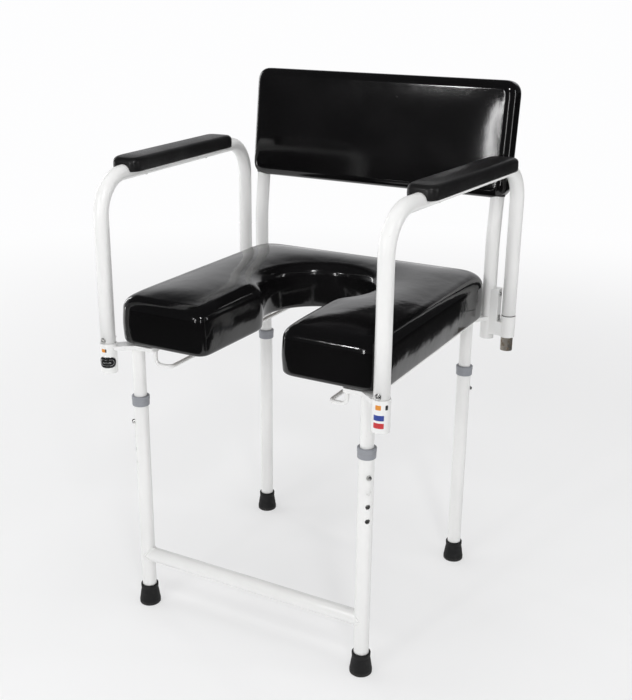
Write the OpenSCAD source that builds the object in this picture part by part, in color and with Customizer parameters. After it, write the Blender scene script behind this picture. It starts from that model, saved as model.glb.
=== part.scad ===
// Commode chair: powder-coated tube frame, moulded keyhole seat, padded back,
// lift-and-swing arms and telescopic legs with snap buttons.
// Axes: X is the chair's width, the front faces -Y, Z is up and the floor is z = 0.

/* [Overall] */
// Half the spacing of the legs across the chair
leg_x = 217; // [210:1:222]
// Half the spacing of the legs from front to back
leg_y = 211; // [206:1:214]
// Height of the underside of the seat
seat_z = 506; // [504:1:516]

/* [Legs] */
// Outside diameter of the lower leg tubes
lower_od = 25.4; // [25:0.1:26]
// Wall of the lower leg tubes
lower_wall = 1.5; // [1.2:0.1:1.6]
// Radial clearance between the telescoping tubes
leg_gap = 0.1; // [0.05:0.01:0.1]
// Wall of the upper leg tubes
upper_wall = 1.5; // [1.2:0.1:2]
// Height of the top of the plastic collars
collar_z = 412; // [404:1:414]
// Height of a plastic collar
collar_h = 18; // [14:1:22]
// Outside diameter of a plastic collar
collar_od = 31; // [30:0.5:33]
// Height of the snap buttons
button_z = 363.5; // [355:0.5:368]
// Spacing of the adjustment holes
pitch = 25.4; // [25:0.1:25.4]
// Number of adjustment holes in each leg
hole_count = 4; // [2:1:4]
// Height of the front crossbar
crossbar_z = 101.8; // [80:0.1:140]
// Height of a rubber tip
tip_h = 40; // [36:1:44]
// Largest diameter of a rubber tip
tip_od = 37; // [35:0.5:42]

/* [Arms] */
// Half the spacing of the front arm tubes
arm_front_x = 254; // [252:1:258]
// Distance of the front arm tubes from the middle
arm_front_y = 244; // [242:1:246]
// Half the spacing of the rear arm tubes
arm_rear_x = 284.5; // [284:0.5:288]
// Outside diameter of the arm tubes
arm_od = 25.4; // [25:0.1:25.4]
// Wall of the arm tubes
arm_wall = 1.5; // [1.4:0.1:1.5]
// Height of the middle of the horizontal arm tube
arm_z = 792; // [760:1:810]
// Bend radius of the arm tubes
arm_bend = 50; // [42:1:56]
// Height of the rim of the arm sockets
socket_z = 511; // [510:1:511]
// Length of the front arm sockets
socket_h = 52; // [46:1:56]
// Length of the arm pads
pad_l = 318; // [290:1:324]
// Width of the arm pads
pad_w = 51; // [46:1:54]
// Height of the arm pads
pad_h = 26; // [24:1:30]

/* [Seat] */
// Half the width of the seat
seat_x = 246; // [240:1:246]
// Thickness of the seat with its board
seat_t = 89; // [80:1:92]
// Radius of the round part of the seat opening
hole_r = 101; // [90:1:106]
// Half the width of the open front slot
slot_x = 65; // [58:1:70]
// Edge rounding of the seat
seat_round = 17; // [14:1:20]

/* [Back] */
// Half the spacing of the back posts
post_x = 245; // [244:0.5:245]
// Distance of the back posts behind the middle
post_y = 244; // [243:0.5:245]
// Lean of the back posts in degrees
lean = 7; // [4:0.5:10]
// Half the width of the backrest
back_x = 261; // [250:1:262]
// Height of the backrest along its lean
back_h = 202; // [180:1:215]
// Thickness of the backrest
back_t = 50; // [46:1:54]

/* [Hidden] */
$fn = 48;
lower_r = lower_od / 2;
lower_ri = lower_r - lower_wall;
upper_r = lower_ri - leg_gap;
upper_ri = upper_r - upper_wall;
plate_t = 7;
plate_z = seat_z - plate_t;
rail_r = 9.5;
upper_bottom = button_z - 30;
tube_foot = 10;
button_r = 4;
button_out = 4.5;
wire_r = 3.5;
wire_z = 474.5;
wire_bend = 10;
arm_r = arm_od / 2;
arm_ri = arm_r - arm_wall;
socket_r = 14.3;
arm_reach = norm([arm_rear_x - arm_front_x, arm_front_y + post_y]);
arm_turn = atan2(arm_front_y + post_y, -(arm_rear_x - arm_front_x));
arm_foot = socket_z - 35;
pad_from = (arm_reach - pad_l) / 2 + 2;
pad_shift = 14;
pad_z = arm_z - 3;
bolt_z = socket_z + 6;
rear_socket_r = 13.5;
rear_socket_ri = 12;
rear_socket_foot = socket_z - 40;
flange_t = 1.5;
pin_r = 11.1;
pin_foot = socket_z - 66;
bracket_bolt_z = [socket_z - 6, socket_z + 38];
board_t = 12;
post_r = 12.7;
post_ri = 11.2;
post_foot = 463;
bend_z = 640;
bend_r = 120;
back_from = 72;
back_round = 20;
mid_y = 20.75;

// ---- shared shapes ----

// colours a piece and centres the whole chair from front to back
module piece(c) {
    color(c) translate([0, -mid_y, 0]) children();
}

module tube(r, ri, h) {
    difference() {
        cylinder(r = r, h = h);
        translate([0, 0, -1]) cylinder(r = ri, h = h + 2);
    }
}

// sx and sy pick one of the four corners of the chair
module at_leg(sx, sy) {
    translate([sx * leg_x, sy * leg_y, 0]) children();
}

// local +X points diagonally outward from a corner
module outward(sx, sy) {
    rotate([0, 0, atan2(sy, sx)]) children();
}

module flip(side) {
    if (side < 0) children();
    else mirror([1, 0, 0]) children();
}

// local +X runs along the left arm from its front tube to its rear tube
module along_arm() {
    translate([-arm_front_x, -arm_front_y, 0]) rotate([0, 0, arm_turn]) children();
}

// local +Z runs up the leaning part of the posts
module along_back() {
    translate([0, post_y + bend_r * (1 - cos(lean)), bend_z + bend_r * sin(lean)])
        rotate([-lean, 0, 0]) children();
}

module quarter_bend(r, ro, ri, from) {
    rotate([90, 0, 0]) rotate([0, 0, from]) rotate_extrude(angle = 90)
        translate([r, 0]) difference() {
            circle(r = ro);
            if (ri > 0) circle(r = ri);
        }
}

// ---- seat frame ----

module corner_plate(sx, sy, far_x, far_y, far_r) {
    piece("WhiteSmoke") translate([0, 0, plate_z]) scale([sx, sy, 1])
        linear_extrude(plate_t) difference() {
            union() {
                hull() {
                    translate([leg_x, leg_y]) circle(r = 14);
                    for (dy = [-5, 6]) translate([leg_x - 32, leg_y + dy]) circle(r = 8);
                }
                hull() {
                    translate([leg_x, leg_y]) circle(r = 14);
                    translate([far_x, far_y]) circle(r = 11);
                }
                translate([leg_x - 12, leg_y - 24]) square([24, 24]);
            }
            translate([far_x, far_y]) circle(r = far_r);
            translate([leg_x - 20, leg_y - 6]) circle(r = 3.2);
        }
}

module corner_plate_fl() { corner_plate(-1, -1, arm_front_x, arm_front_y, socket_r); }
module corner_plate_fr() { corner_plate(1, -1, arm_front_x, arm_front_y, socket_r); }
module corner_plate_rl() { corner_plate(-1, 1, post_x, post_y, post_r); }
module corner_plate_rr() { corner_plate(1, 1, post_x, post_y, post_r); }

module side_rail(sx) {
    piece("WhiteSmoke") translate([sx * leg_x, -(leg_y - 24), seat_z - rail_r])
        rotate([-90, 0, 0]) tube(rail_r, rail_r - 1.5, 2 * (leg_y - 24));
}

module side_rail_left() { side_rail(-1); }
module side_rail_right() { side_rail(1); }

module rear_rail() {
    piece("WhiteSmoke") translate([-(leg_x - 40), leg_y, seat_z - rail_r])
        rotate([0, 90, 0]) tube(rail_r, rail_r - 1.5, 2 * (leg_x - 40));
}

module arm_socket(sx) {
    piece("WhiteSmoke") translate([sx * arm_front_x, -arm_front_y, socket_z - socket_h])
        tube(socket_r, arm_r + 0.1, socket_h);
}

module arm_socket_left() { arm_socket(-1); }
module arm_socket_right() { arm_socket(1); }

module upper_leg(sx, sy) {
    piece("WhiteSmoke") at_leg(sx, sy) difference() {
        translate([0, 0, upper_bottom]) tube(upper_r, upper_ri, plate_z - upper_bottom);
        translate([0, 0, button_z]) outward(sx, sy) rotate([0, 90, 0])
            cylinder(r = button_r + 0.05, h = 20);
    }
}

module upper_leg_fl() { upper_leg(-1, -1); }
module upper_leg_fr() { upper_leg(1, -1); }
module upper_leg_rl() { upper_leg(-1, 1); }
module upper_leg_rr() { upper_leg(1, 1); }

// one bent wire each side: down from the front plate, in, back, out and up again
module pan_rail(side) {
    wx = leg_x - 36;
    wy = leg_y;
    b = wire_bend;
    drop = plate_z - wire_z - b;
    inner = wx - 30;
    piece("WhiteSmoke") flip(side) {
        for (sy = [-1, 1]) {
            translate([-wx, sy * wy, wire_z + b]) cylinder(r = wire_r, h = drop);
            translate([-wx + b, sy * wy, wire_z + b]) quarter_bend(b, wire_r, 0, 180);
            translate([-wx + b, sy * wy, wire_z]) rotate([0, 90, 0])
                cylinder(r = wire_r, h = 30 - 2 * b);
            translate([-inner - b, sy * (wy - b), wire_z]) scale([1, -sy, 1])
                rotate([0, 0, -90]) rotate_extrude(angle = 90)
                    translate([b, 0]) circle(r = wire_r);
        }
        translate([-inner, -(wy - b), wire_z]) rotate([-90, 0, 0])
            cylinder(r = wire_r, h = 2 * (wy - b));
    }
}

module pan_rail_left() { pan_rail(-1); }
module pan_rail_right() { pan_rail(1); }

// ---- seat ----

module seat_plan(inset) {
    offset(r = 28) offset(delta = -28 - inset) difference() {
        hull() {
            for (sx = [-1, 1]) {
                translate([sx * (seat_x - 36), -195]) circle(r = 36);
                translate([sx * (seat_x - 52), 194]) circle(r = 52);
            }
        }
        translate([0, 30]) circle(r = hole_r, $fn = 72);
        polygon([[-slot_x - 5, -300], [slot_x + 5, -300], [slot_x, 0], [-slot_x, 0]]);
    }
}

module seat_screw_places() {
    for (sx = [-1, 1], sy = [-1, 1])
        translate([sx * (leg_x - 20), sy * (leg_y - 6), 0]) children();
}

module seat_board() {
    piece("BurlyWood") difference() {
        translate([0, 0, seat_z]) linear_extrude(board_t) seat_plan(14);
        seat_screw_places() translate([0, 0, seat_z - 1]) cylinder(r = 3.05, h = 10, $fn = 24);
    }
}

module seat_cushion() {
    piece("#1a1a1c") difference() {
        translate([0, 0, seat_z + 2 + seat_round]) minkowski() {
            linear_extrude(seat_t - 2 - 2 * seat_round, convexity = 4) seat_plan(seat_round);
            sphere(r = seat_round, $fn = 20);
        }
        translate([0, 0, seat_z - 1]) linear_extrude(board_t + 1) seat_plan(13.9);
    }
}

module seat_screws() {
    piece("Silver") seat_screw_places() {
        translate([0, 0, plate_z - 3]) cylinder(r = 5.5, h = 3, $fn = 32);
        translate([0, 0, plate_z - 1]) cylinder(r = 3, h = plate_t + 9, $fn = 24);
    }
}

// ---- back ----

module back_post(sx) {
    piece("WhiteSmoke") difference() {
        union() {
            translate([sx * post_x, post_y, post_foot]) tube(post_r, post_ri, bend_z - post_foot);
            translate([sx * post_x, post_y + bend_r, bend_z])
                rotate([0, 0, -90]) rotate([90, 0, 0])
                    rotate_extrude(angle = lean) translate([bend_r, 0]) difference() {
                        circle(r = post_r);
                        circle(r = post_ri);
                    }
            along_back() translate([sx * post_x, 0, -1])
                tube(post_r - 0.04, post_ri + 0.04, back_from + 131);
        }
        along_back() for (z = [40, 110]) translate([sx * post_x, 0, back_from + z])
            rotate([-90, 0, 0]) cylinder(r = 2.55, h = 20, $fn = 24);
        for (z = bracket_bolt_z) translate([sx * post_x, post_y, z])
            rotate([0, 90 * sx, 0]) cylinder(r = 2.55, h = 20, $fn = 24);
    }
}

module back_post_left() { back_post(-1); }
module back_post_right() { back_post(1); }

// fills the space between a post and its rear arm socket, with a taller tab on the post
module arm_bracket(sx) {
    piece("WhiteSmoke") scale([sx, 1, 1]) difference() {
        union() {
            translate([post_x, post_y - 11, rear_socket_foot + 2])
                cube([arm_rear_x - post_x, 22, 26]);
            translate([post_x, post_y - 11, rear_socket_foot + 2]) cube([21, 22, 86]);
        }
        translate([post_x, post_y, 0]) cylinder(r = post_r, h = 700);
        translate([arm_rear_x, post_y, 0]) cylinder(r = rear_socket_r, h = 700);
        for (z = bracket_bolt_z) translate([post_x, post_y, z])
            rotate([0, 90, 0]) cylinder(r = 2.55, h = 30, $fn = 24);
    }
}

module arm_bracket_left() { arm_bracket(-1); }
module arm_bracket_right() { arm_bracket(1); }

module rear_socket(sx) {
    piece("WhiteSmoke") translate([sx * arm_rear_x, post_y, rear_socket_foot])
        tube(rear_socket_r, rear_socket_ri, socket_z - rear_socket_foot);
}

module rear_socket_left() { rear_socket(-1); }
module rear_socket_right() { rear_socket(1); }

module bracket_bolts() {
    piece("Silver") for (sx = [-1, 1], z = bracket_bolt_z)
        translate([sx * post_x, post_y, z]) rotate([0, 90 * sx, 0]) {
            translate([0, 0, 8]) cylinder(r = 2.5, h = 14, $fn = 24);
            translate([0, 0, 21]) cylinder(r = 4.5, h = 2, $fn = 32);
        }
}

module back_panel() {
    piece("#2a2a2c") along_back() difference() {
        translate([-back_x + 28, back_t / 2 - 4, back_from + 26]) cube([2 * back_x - 56, 4, back_h - 52]);
        for (sx = [-1, 1], z = [40, 110]) translate([sx * post_x, 0, back_from + z])
            rotate([-90, 0, 0]) cylinder(r = 2.55, h = 40, $fn = 24);
    }
}

module back_cushion() {
    piece("#1a1a1c") along_back() difference() {
        translate([0, 0, back_from + back_h / 2]) minkowski() {
            cube([2 * (back_x - back_round), back_t - 2 * back_round, back_h - 2 * back_round], center = true);
            sphere(r = back_round, $fn = 24);
        }
        for (sx = [-1, 1]) {
            translate([sx * post_x, 0, back_from - 5]) cylinder(r = post_r + 0.05, h = 135.05);
            for (z = [40, 110]) translate([sx * post_x, 0, back_from + z])
                rotate([-90, 0, 0]) cylinder(r = 2.6, h = 40, $fn = 24);
        }
        translate([-back_x + 27.9, back_t / 2 - 4.1, back_from + 25.9])
            cube([2 * back_x - 55.8, 10, back_h - 51.8]);
    }
}

module back_screws() {
    piece("DimGray") along_back() for (sx = [-1, 1], z = [40, 110])
        translate([sx * post_x, 0, back_from + z]) rotate([-90, 0, 0]) {
            translate([0, 0, 8]) cylinder(r = 2.5, h = back_t / 2 - 7, $fn = 24);
            translate([0, 0, back_t / 2]) cylinder(r = 6, h = 3, $fn = 32);
        }
}

module post_collars() {
    piece("#2a2a2c") along_back() for (sx = [-1, 1])
        translate([sx * post_x, 0, back_from - 2.5]) tube(14.2, post_r + 0.05, 2.5);
}

// ---- snap buttons ----

module snap_springs() {
    piece("Silver") for (sx = [-1, 1], sy = [-1, 1])
        at_leg(sx, sy) translate([0, 0, button_z]) outward(sx, sy)
            rotate([90, 0, 0]) translate([0, 0, -3.5]) linear_extrude(7)
                polygon([[5.6, 6], [4.8, 6], [4.8, -5], [-5.6, -24], [-6.6, -24],
                    [-7.6, 6], [-8.5, 6], [-8.5, -25], [-5.2, -25], [5.6, -5.3]]);
}

module button(sx, sy) {
    piece("Silver") at_leg(sx, sy) translate([0, 0, button_z]) outward(sx, sy)
        rotate([0, 90, 0]) {
            translate([0, 0, 5.9]) cylinder(r = button_r, h = lower_r + button_out - 5.9 - 1.6, $fn = 40);
            translate([0, 0, lower_r + button_out - 1.6]) cylinder(r1 = button_r, r2 = 2.2, h = 1.6, $fn = 40);
        }
}

module button_fl() { button(-1, -1); }
module button_fr() { button(1, -1); }
module button_rl() { button(-1, 1); }
module button_rr() { button(1, 1); }

// ---- arms ----

module pivot_bush(sx) {
    piece("#3a3a3d") translate([sx * arm_rear_x, post_y, 0]) difference() {
        union() {
            translate([0, 0, rear_socket_foot]) cylinder(r = rear_socket_ri - 0.02, h = socket_z - rear_socket_foot + 0.5);
            translate([0, 0, socket_z + 0.05]) cylinder(r = arm_r, h = flange_t);
        }
        cylinder(r = pin_r + 0.06, h = 700);
    }
}

module pivot_bush_left() { pivot_bush(-1); }
module pivot_bush_right() { pivot_bush(1); }

module pivot_pin(sx) {
    piece("Silver") translate([sx * arm_rear_x, post_y, pin_foot])
        tube(pin_r, pin_r - 2, 120);
}

module pivot_pin_left() { pivot_pin(-1); }
module pivot_pin_right() { pivot_pin(1); }

module pad_places(side) {
    for (k = [0.2, 0.8])
        translate([pad_from + side * pad_shift + k * pad_l, 0, 0]) children();
}

module arm_tube(side) {
    top = arm_z - arm_bend;
    piece("WhiteSmoke") flip(side) difference() {
        along_arm() {
            translate([0, 0, arm_foot]) tube(arm_r, arm_ri, top - arm_foot);
            translate([arm_bend, 0, top]) quarter_bend(arm_bend, arm_r, arm_ri, 90);
            translate([arm_bend, 0, arm_z]) rotate([0, 90, 0])
                tube(arm_r, arm_ri, arm_reach - 2 * arm_bend);
            translate([arm_reach - arm_bend, 0, top]) quarter_bend(arm_bend, arm_r, arm_ri, 0);
            translate([arm_reach, 0, socket_z + flange_t + 0.1])
                tube(arm_r, arm_ri, top - socket_z - flange_t - 0.1);
        }
        translate([-arm_front_x, -arm_front_y, bolt_z]) rotate([90, 0, 0])
            cylinder(r = 2.55, h = 60, center = true, $fn = 24);
        along_arm() pad_places(side) translate([0, 0, arm_z - 20]) cylinder(r = 2.3, h = 40, $fn = 24);
    }
}

module arm_tube_left() { arm_tube(-1); }
module arm_tube_right() { arm_tube(1); }

module arm_pad(side) {
    r = 8;
    piece("#1a1a1c") flip(side) along_arm() difference() {
        translate([pad_from + side * pad_shift, 0, pad_z]) hull()
            for (x = [16, pad_l - 16], y = [-1, 1] * (pad_w / 2 - 16), z = [r, pad_h - r])
                translate([x, y, z]) rotate_extrude($fn = 32)
                    translate([16 - r, 0]) circle(r = r, $fn = 20);
        translate([0, 0, arm_z]) rotate([0, 90, 0]) cylinder(r = arm_r + 0.05, h = arm_reach);
        pad_places(side) translate([0, 0, arm_z]) cylinder(r = 2.05, h = 18, $fn = 24);
    }
}

module arm_pad_left() { arm_pad(-1); }
module arm_pad_right() { arm_pad(1); }

module pad_screws(side) {
    piece("Silver") flip(side) along_arm() pad_places(side) {
        translate([0, 0, arm_z - arm_r - 2.5]) cylinder(r = 4.5, h = 2.5, $fn = 32);
        translate([0, 0, arm_z - arm_r - 1]) cylinder(r = 2, h = 30, $fn = 24);
    }
}

module pad_screws_left() { pad_screws(-1); }
module pad_screws_right() { pad_screws(1); }

module cross_bolt(sx) {
    piece("Silver") translate([sx * arm_front_x, -arm_front_y, bolt_z]) rotate([90, 0, 0]) {
        translate([0, 0, -arm_r - 1]) cylinder(r = 2.5, h = 2 * arm_r + 2, $fn = 24);
        translate([0, 0, arm_r]) cylinder(r1 = 4.6, r2 = 2.8, h = 2.6, $fn = 32);
        translate([0, 0, -arm_r - 4]) cylinder(r = 4.2, h = 4, $fn = 6);
    }
}

module cross_bolt_left() { cross_bolt(-1); }
module cross_bolt_right() { cross_bolt(1); }

// ---- lower legs ----

module lower_leg(sx, sy) {
    piece("WhiteSmoke") at_leg(sx, sy) difference() {
        translate([0, 0, tube_foot]) tube(lower_r, lower_ri, collar_z - 3 - tube_foot);
        for (k = [0 : hole_count - 1]) translate([0, 0, button_z - k * pitch])
            outward(sx, sy) rotate([0, 90, 0]) cylinder(r = button_r + 0.3, h = 20);
    }
}

module lower_leg_fl() { lower_leg(-1, -1); }
module lower_leg_fr() { lower_leg(1, -1); }
module lower_leg_rl() { lower_leg(-1, 1); }
module lower_leg_rr() { lower_leg(1, 1); }

module crossbar() {
    piece("WhiteSmoke") difference() {
        translate([-leg_x, -leg_y, crossbar_z]) rotate([0, 90, 0])
            tube(lower_r, lower_ri, 2 * leg_x);
        for (sx = [-1, 1]) translate([sx * leg_x, -leg_y, crossbar_z - 50])
            cylinder(r = lower_r, h = 100);
    }
}

module collar(sx, sy) {
    piece("Gray") at_leg(sx, sy) difference() {
        translate([0, 0, collar_z - collar_h]) rotate_extrude()
            polygon([[0, 0], [collar_od / 2 - 0.6, 0], [collar_od / 2, 0.6],
                [collar_od / 2, collar_h - 1.2], [collar_od / 2 - 1.2, collar_h], [0, collar_h]]);
        translate([0, 0, collar_z - collar_h - 1]) cylinder(r = lower_r, h = collar_h - 2);
        translate([0, 0, collar_z - collar_h - 1]) cylinder(r = upper_r + 0.3, h = collar_h + 2);
    }
}

module collar_fl() { collar(-1, -1); }
module collar_fr() { collar(1, -1); }
module collar_rl() { collar(-1, 1); }
module collar_rr() { collar(1, 1); }

module tip(sx, sy) {
    piece("#222224") at_leg(sx, sy) difference() {
        rotate_extrude()
            polygon([[0, 0], [tip_od / 2 - 1.5, 0], [tip_od / 2, 1.5], [tip_od / 2, 9],
                [15.6, 16], [14.6, tip_h - 6], [15.2, tip_h - 4.5], [15.2, tip_h - 0.8],
                [14.4, tip_h], [0, tip_h]]);
        translate([0, 0, tube_foot]) cylinder(r = lower_r, h = tip_h);
    }
}

module tip_fl() { tip(-1, -1); }
module tip_fr() { tip(1, -1); }
module tip_rl() { tip(-1, 1); }
module tip_rr() { tip(1, 1); }

// ---- what is drawn ----

corner_plate_fl();
corner_plate_fr();
corner_plate_rl();
corner_plate_rr();
side_rail_left();
side_rail_right();
rear_rail();
arm_socket_left();
arm_socket_right();
upper_leg_fl();
upper_leg_fr();
upper_leg_rl();
upper_leg_rr();
pan_rail_left();
pan_rail_right();
seat_board();
seat_cushion();
seat_screws();
back_post_left();
back_post_right();
arm_bracket_left();
arm_bracket_right();
rear_socket_left();
rear_socket_right();
bracket_bolts();
back_panel();
back_cushion();
back_screws();
post_collars();
snap_springs();
pivot_bush_left();
pivot_bush_right();
arm_tube_left();
arm_tube_right();
pivot_pin_left();
pivot_pin_right();
arm_pad_left();
arm_pad_right();
pad_screws_left();
pad_screws_right();
cross_bolt_left();
cross_bolt_right();
lower_leg_fl();
lower_leg_fr();
lower_leg_rl();
lower_leg_rr();
crossbar();
collar_fl();
collar_fr();
collar_rl();
collar_rr();
tip_fl();
tip_fr();
tip_rl();
tip_rr();
button_fl();
button_fr();
button_rl();
button_rr();
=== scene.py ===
"""Looks of a commode chair: powder-coated tubes, moulded gloss pads, rubber tips.

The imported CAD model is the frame. The pads, the arm tubes, the fasteners, the
tips and the collars are made again here in finer shape, and every node and
piece gets a procedural finish. All lengths are in metres unless a name says mm.
"""

import logging
import math
from dataclasses import dataclass
from enum import Enum
from typing import Any, Iterable, Optional, Sequence, Union

import bmesh
import bpy
import numpy as np
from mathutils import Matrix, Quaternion, Vector
from mathutils.geometry import delaunay_2d_cdt


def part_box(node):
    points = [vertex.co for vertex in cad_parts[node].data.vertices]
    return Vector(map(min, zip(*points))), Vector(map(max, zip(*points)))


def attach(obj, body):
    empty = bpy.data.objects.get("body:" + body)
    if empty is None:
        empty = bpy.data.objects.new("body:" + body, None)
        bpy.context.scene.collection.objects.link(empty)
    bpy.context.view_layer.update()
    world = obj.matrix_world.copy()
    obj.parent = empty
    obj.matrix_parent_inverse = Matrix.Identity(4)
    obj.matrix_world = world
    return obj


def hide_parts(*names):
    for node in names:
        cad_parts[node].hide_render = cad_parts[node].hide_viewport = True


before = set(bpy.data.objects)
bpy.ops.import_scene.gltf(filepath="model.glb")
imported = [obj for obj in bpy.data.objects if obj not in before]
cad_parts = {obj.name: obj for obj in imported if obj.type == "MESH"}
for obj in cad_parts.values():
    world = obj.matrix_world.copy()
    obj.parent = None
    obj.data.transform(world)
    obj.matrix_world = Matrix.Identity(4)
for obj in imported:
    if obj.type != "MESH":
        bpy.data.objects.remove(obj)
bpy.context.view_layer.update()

logging.basicConfig(level=logging.INFO, format="%(message)s")
log = logging.getLogger("commode_chair")

MM = 0.001

# What several sub-assemblies share, in mm and degrees.
BOTH = (-1, 1)
LEAN_DEGREES = 7.0
SEAT_MIDDLE_Y = -20.75
SOCKET_X = 254.0
SOCKET_Y = -264.75
TUBE_RADIUS = 12.7
SUNK = 0.4

Number = Union[int, float]
Points = np.ndarray
Faces = list[tuple[int, ...]]


class Slot(Enum):
    """The record's material slots."""

    WHITE_FRAME = "white_frame"
    BLACK_SKIN = "black_skin"
    BOARD = "board"
    BLACK_PLASTIC = "black_plastic"
    GREY_PLASTIC = "grey_plastic"
    BUSH_PLASTIC = "bush_plastic"
    BARE_STEEL = "bare_steel"
    BRIGHT_STEEL = "bright_steel"
    TIP_RUBBER = "tip_rubber"


class Side(Enum):
    """Left and right, as the sign of X."""

    LEFT = -1
    RIGHT = 1

    @property
    def word(self) -> str:
        """The side's name in node and body names."""
        return self.name.lower()


# ---------------------------------------------------------------- node trees


class Sock:
    """One output socket of a node. Arithmetic on it adds Math nodes."""

    def __init__(self, kit: "NodeKit", socket: Any) -> None:
        """Wraps a socket.

        Args:
            kit: the tree's node kit.
            socket: the output socket.
        """
        self.kit = kit
        self.socket = socket

    def _math(self, operation: str, first: Any, second: Any) -> "Sock":
        """Adds one Math node.

        Args:
            operation: the Math node's operation.
            first: its first value.
            second: its second value.

        Returns:
            The node's output.
        """
        return self.kit.add("ShaderNodeMath", {"operation": operation}, {0: first, 1: second})

    def __add__(self, other: Any) -> "Sock":
        """self + other."""
        return self._math("ADD", self, other)

    def __radd__(self, other: Any) -> "Sock":
        """other + self."""
        return self._math("ADD", other, self)

    def __sub__(self, other: Any) -> "Sock":
        """self - other."""
        return self._math("SUBTRACT", self, other)

    def __rsub__(self, other: Any) -> "Sock":
        """other - self."""
        return self._math("SUBTRACT", other, self)

    def __mul__(self, other: Any) -> "Sock":
        """self * other."""
        return self._math("MULTIPLY", self, other)

    def __rmul__(self, other: Any) -> "Sock":
        """other * self."""
        return self._math("MULTIPLY", other, self)

    def __truediv__(self, other: Any) -> "Sock":
        """self / other."""
        return self._math("DIVIDE", self, other)

    def sine(self) -> "Sock":
        """The sine of the value."""
        return self.kit.add("ShaderNodeMath", {"operation": "SINE"}, {0: self})

    def spread(self, low: Number, high: Number) -> "Sock":
        """Takes the value from low..high to 0..1, smoothly and clamped."""
        return self.kit.add(
            "ShaderNodeMapRange",
            {"interpolation_type": "SMOOTHSTEP"},
            {"Value": self, "From Min": low, "From Max": high},
        )


class NodeKit:
    """Adds nodes to a shader or geometry tree."""

    def __init__(self, tree: Any) -> None:
        """Keeps the tree that nodes are added to."""
        self.tree = tree

    def add(
        self,
        kind: str,
        settings: Optional[dict[str, Any]] = None,
        values: Optional[dict[Any, Any]] = None,
        out: Union[int, str] = 0,
    ) -> Sock:
        """Adds any node.

        Args:
            kind: the node's type name.
            settings: its properties, set first.
            values: a value or a link for each input, by name or number.
            out: the output to return, by name or number.

        Returns:
            The chosen output.
        """
        node = self.tree.nodes.new(kind)
        for name, value in (settings or {}).items():
            setattr(node, name, value)
        for key, value in (values or {}).items():
            self.put(node.inputs[key], value)
        return Sock(self, node.outputs[out])

    def put(self, target: Any, value: Any) -> None:
        """Links or sets one input socket."""
        if isinstance(value, Sock):
            self.tree.links.new(value.socket, target)
        else:
            target.default_value = value

    def blend(self, mask: Any, first: Any, second: Any) -> Sock:
        """Mixes two colours.

        Args:
            mask: 0 gives the first, 1 the second.
            first: a colour or a link.
            second: a colour or a link.

        Returns:
            The mixed colour.
        """
        return self.add(
            "ShaderNodeMix", {"data_type": "RGBA"}, {0: mask, 6: first, 7: second}, out=2
        )


Colour = tuple[float, float, float]


def rgba(colour: Colour) -> tuple[float, float, float, float]:
    """A colour with full alpha."""
    return (*colour, 1.0)


class ShaderKit(NodeKit):
    """A material's node kit, with the patterns that the finishes share."""

    def __init__(self, name: str) -> None:
        """Starts a material with one Principled shader.

        Args:
            name: the material's name.
        """
        self.material = bpy.data.materials.new(name)
        self.material.use_nodes = True
        super().__init__(self.material.node_tree)
        self.shader = self.tree.nodes["Principled BSDF"]
        self.place = self.add("ShaderNodeTexCoord", out="Object")

    def noise(self, scale: float, detail: float = 2.0, rough: float = 0.5) -> Sock:
        """Noise with features of about 1 / scale metres."""
        return self.add(
            "ShaderNodeTexNoise",
            None,
            {"Vector": self.place, "Scale": scale, "Detail": detail, "Roughness": rough},
        )

    def stretched_noise(self, scale: float, stretch: tuple[float, float, float]) -> Sock:
        """Noise drawn out along some axes."""
        moved = self.add("ShaderNodeMapping", None, {"Vector": self.place, "Scale": stretch})
        return self.add(
            "ShaderNodeTexNoise", None, {"Vector": moved, "Scale": scale, "Detail": 3.0}
        )

    def cells(self, scale: float) -> Sock:
        """Distance to the nearest cell's edge, for leather-like grain."""
        return self.add(
            "ShaderNodeTexVoronoi",
            {"feature": "DISTANCE_TO_EDGE"},
            {"Vector": self.place, "Scale": scale, "Randomness": 0.9},
        )

    def bump(self, height: Sock, depth: float, under: Optional[Sock] = None) -> Sock:
        """A bump of the given depth in metres, over another bump if given."""
        values: dict[Any, Any] = {"Height": height, "Distance": depth, "Strength": 1.0}
        if under is not None:
            values["Normal"] = under
        return self.add("ShaderNodeBump", None, values, out="Normal")

    def finish(self, values: dict[str, Any]) -> Any:
        """Sets the Principled shader's inputs and returns the material."""
        for key, value in values.items():
            self.put(self.shader.inputs[key], value)
        return self.material


# ---------------------------------------------------------------- finishes


@dataclass(frozen=True)
class Finish:
    """A finish that can make its material."""

    name: str

    def make(self) -> Any:
        """Builds the material."""
        raise NotImplementedError


@dataclass(frozen=True)
class PowderCoat(Finish):
    """Gloss powder coat with orange peel, a little dust and thin spots."""

    colour: Colour = (0.84, 0.84, 0.83)
    thin: Colour = (0.70, 0.70, 0.70)
    peel_scale: float = 520.0
    peel_depth: float = 0.00006
    gloss: float = 0.24

    def make(self) -> Any:
        """Builds the material."""
        kit = ShaderKit(self.name)
        cloud = kit.noise(9.0, 4.0)
        specks = kit.noise(340.0, 1.0).spread(0.74, 0.82)
        tint = kit.blend(cloud.spread(0.35, 0.8) * 0.22, rgba(self.colour), rgba(self.thin))
        tint = kit.blend(specks * 0.35, tint, rgba((0.5, 0.49, 0.46)))
        peel = kit.noise(self.peel_scale, 2.0)
        runs = kit.noise(60.0, 2.0)
        normal = kit.bump(peel, self.peel_depth, kit.bump(runs, self.peel_depth * 4))
        return kit.finish(
            {
                "Base Color": tint,
                "Roughness": self.gloss + cloud * 0.12 + specks * 0.2,
                "Coat Weight": 0.35,
                "Coat Roughness": 0.08,
                "Normal": normal,
            }
        )


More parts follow.
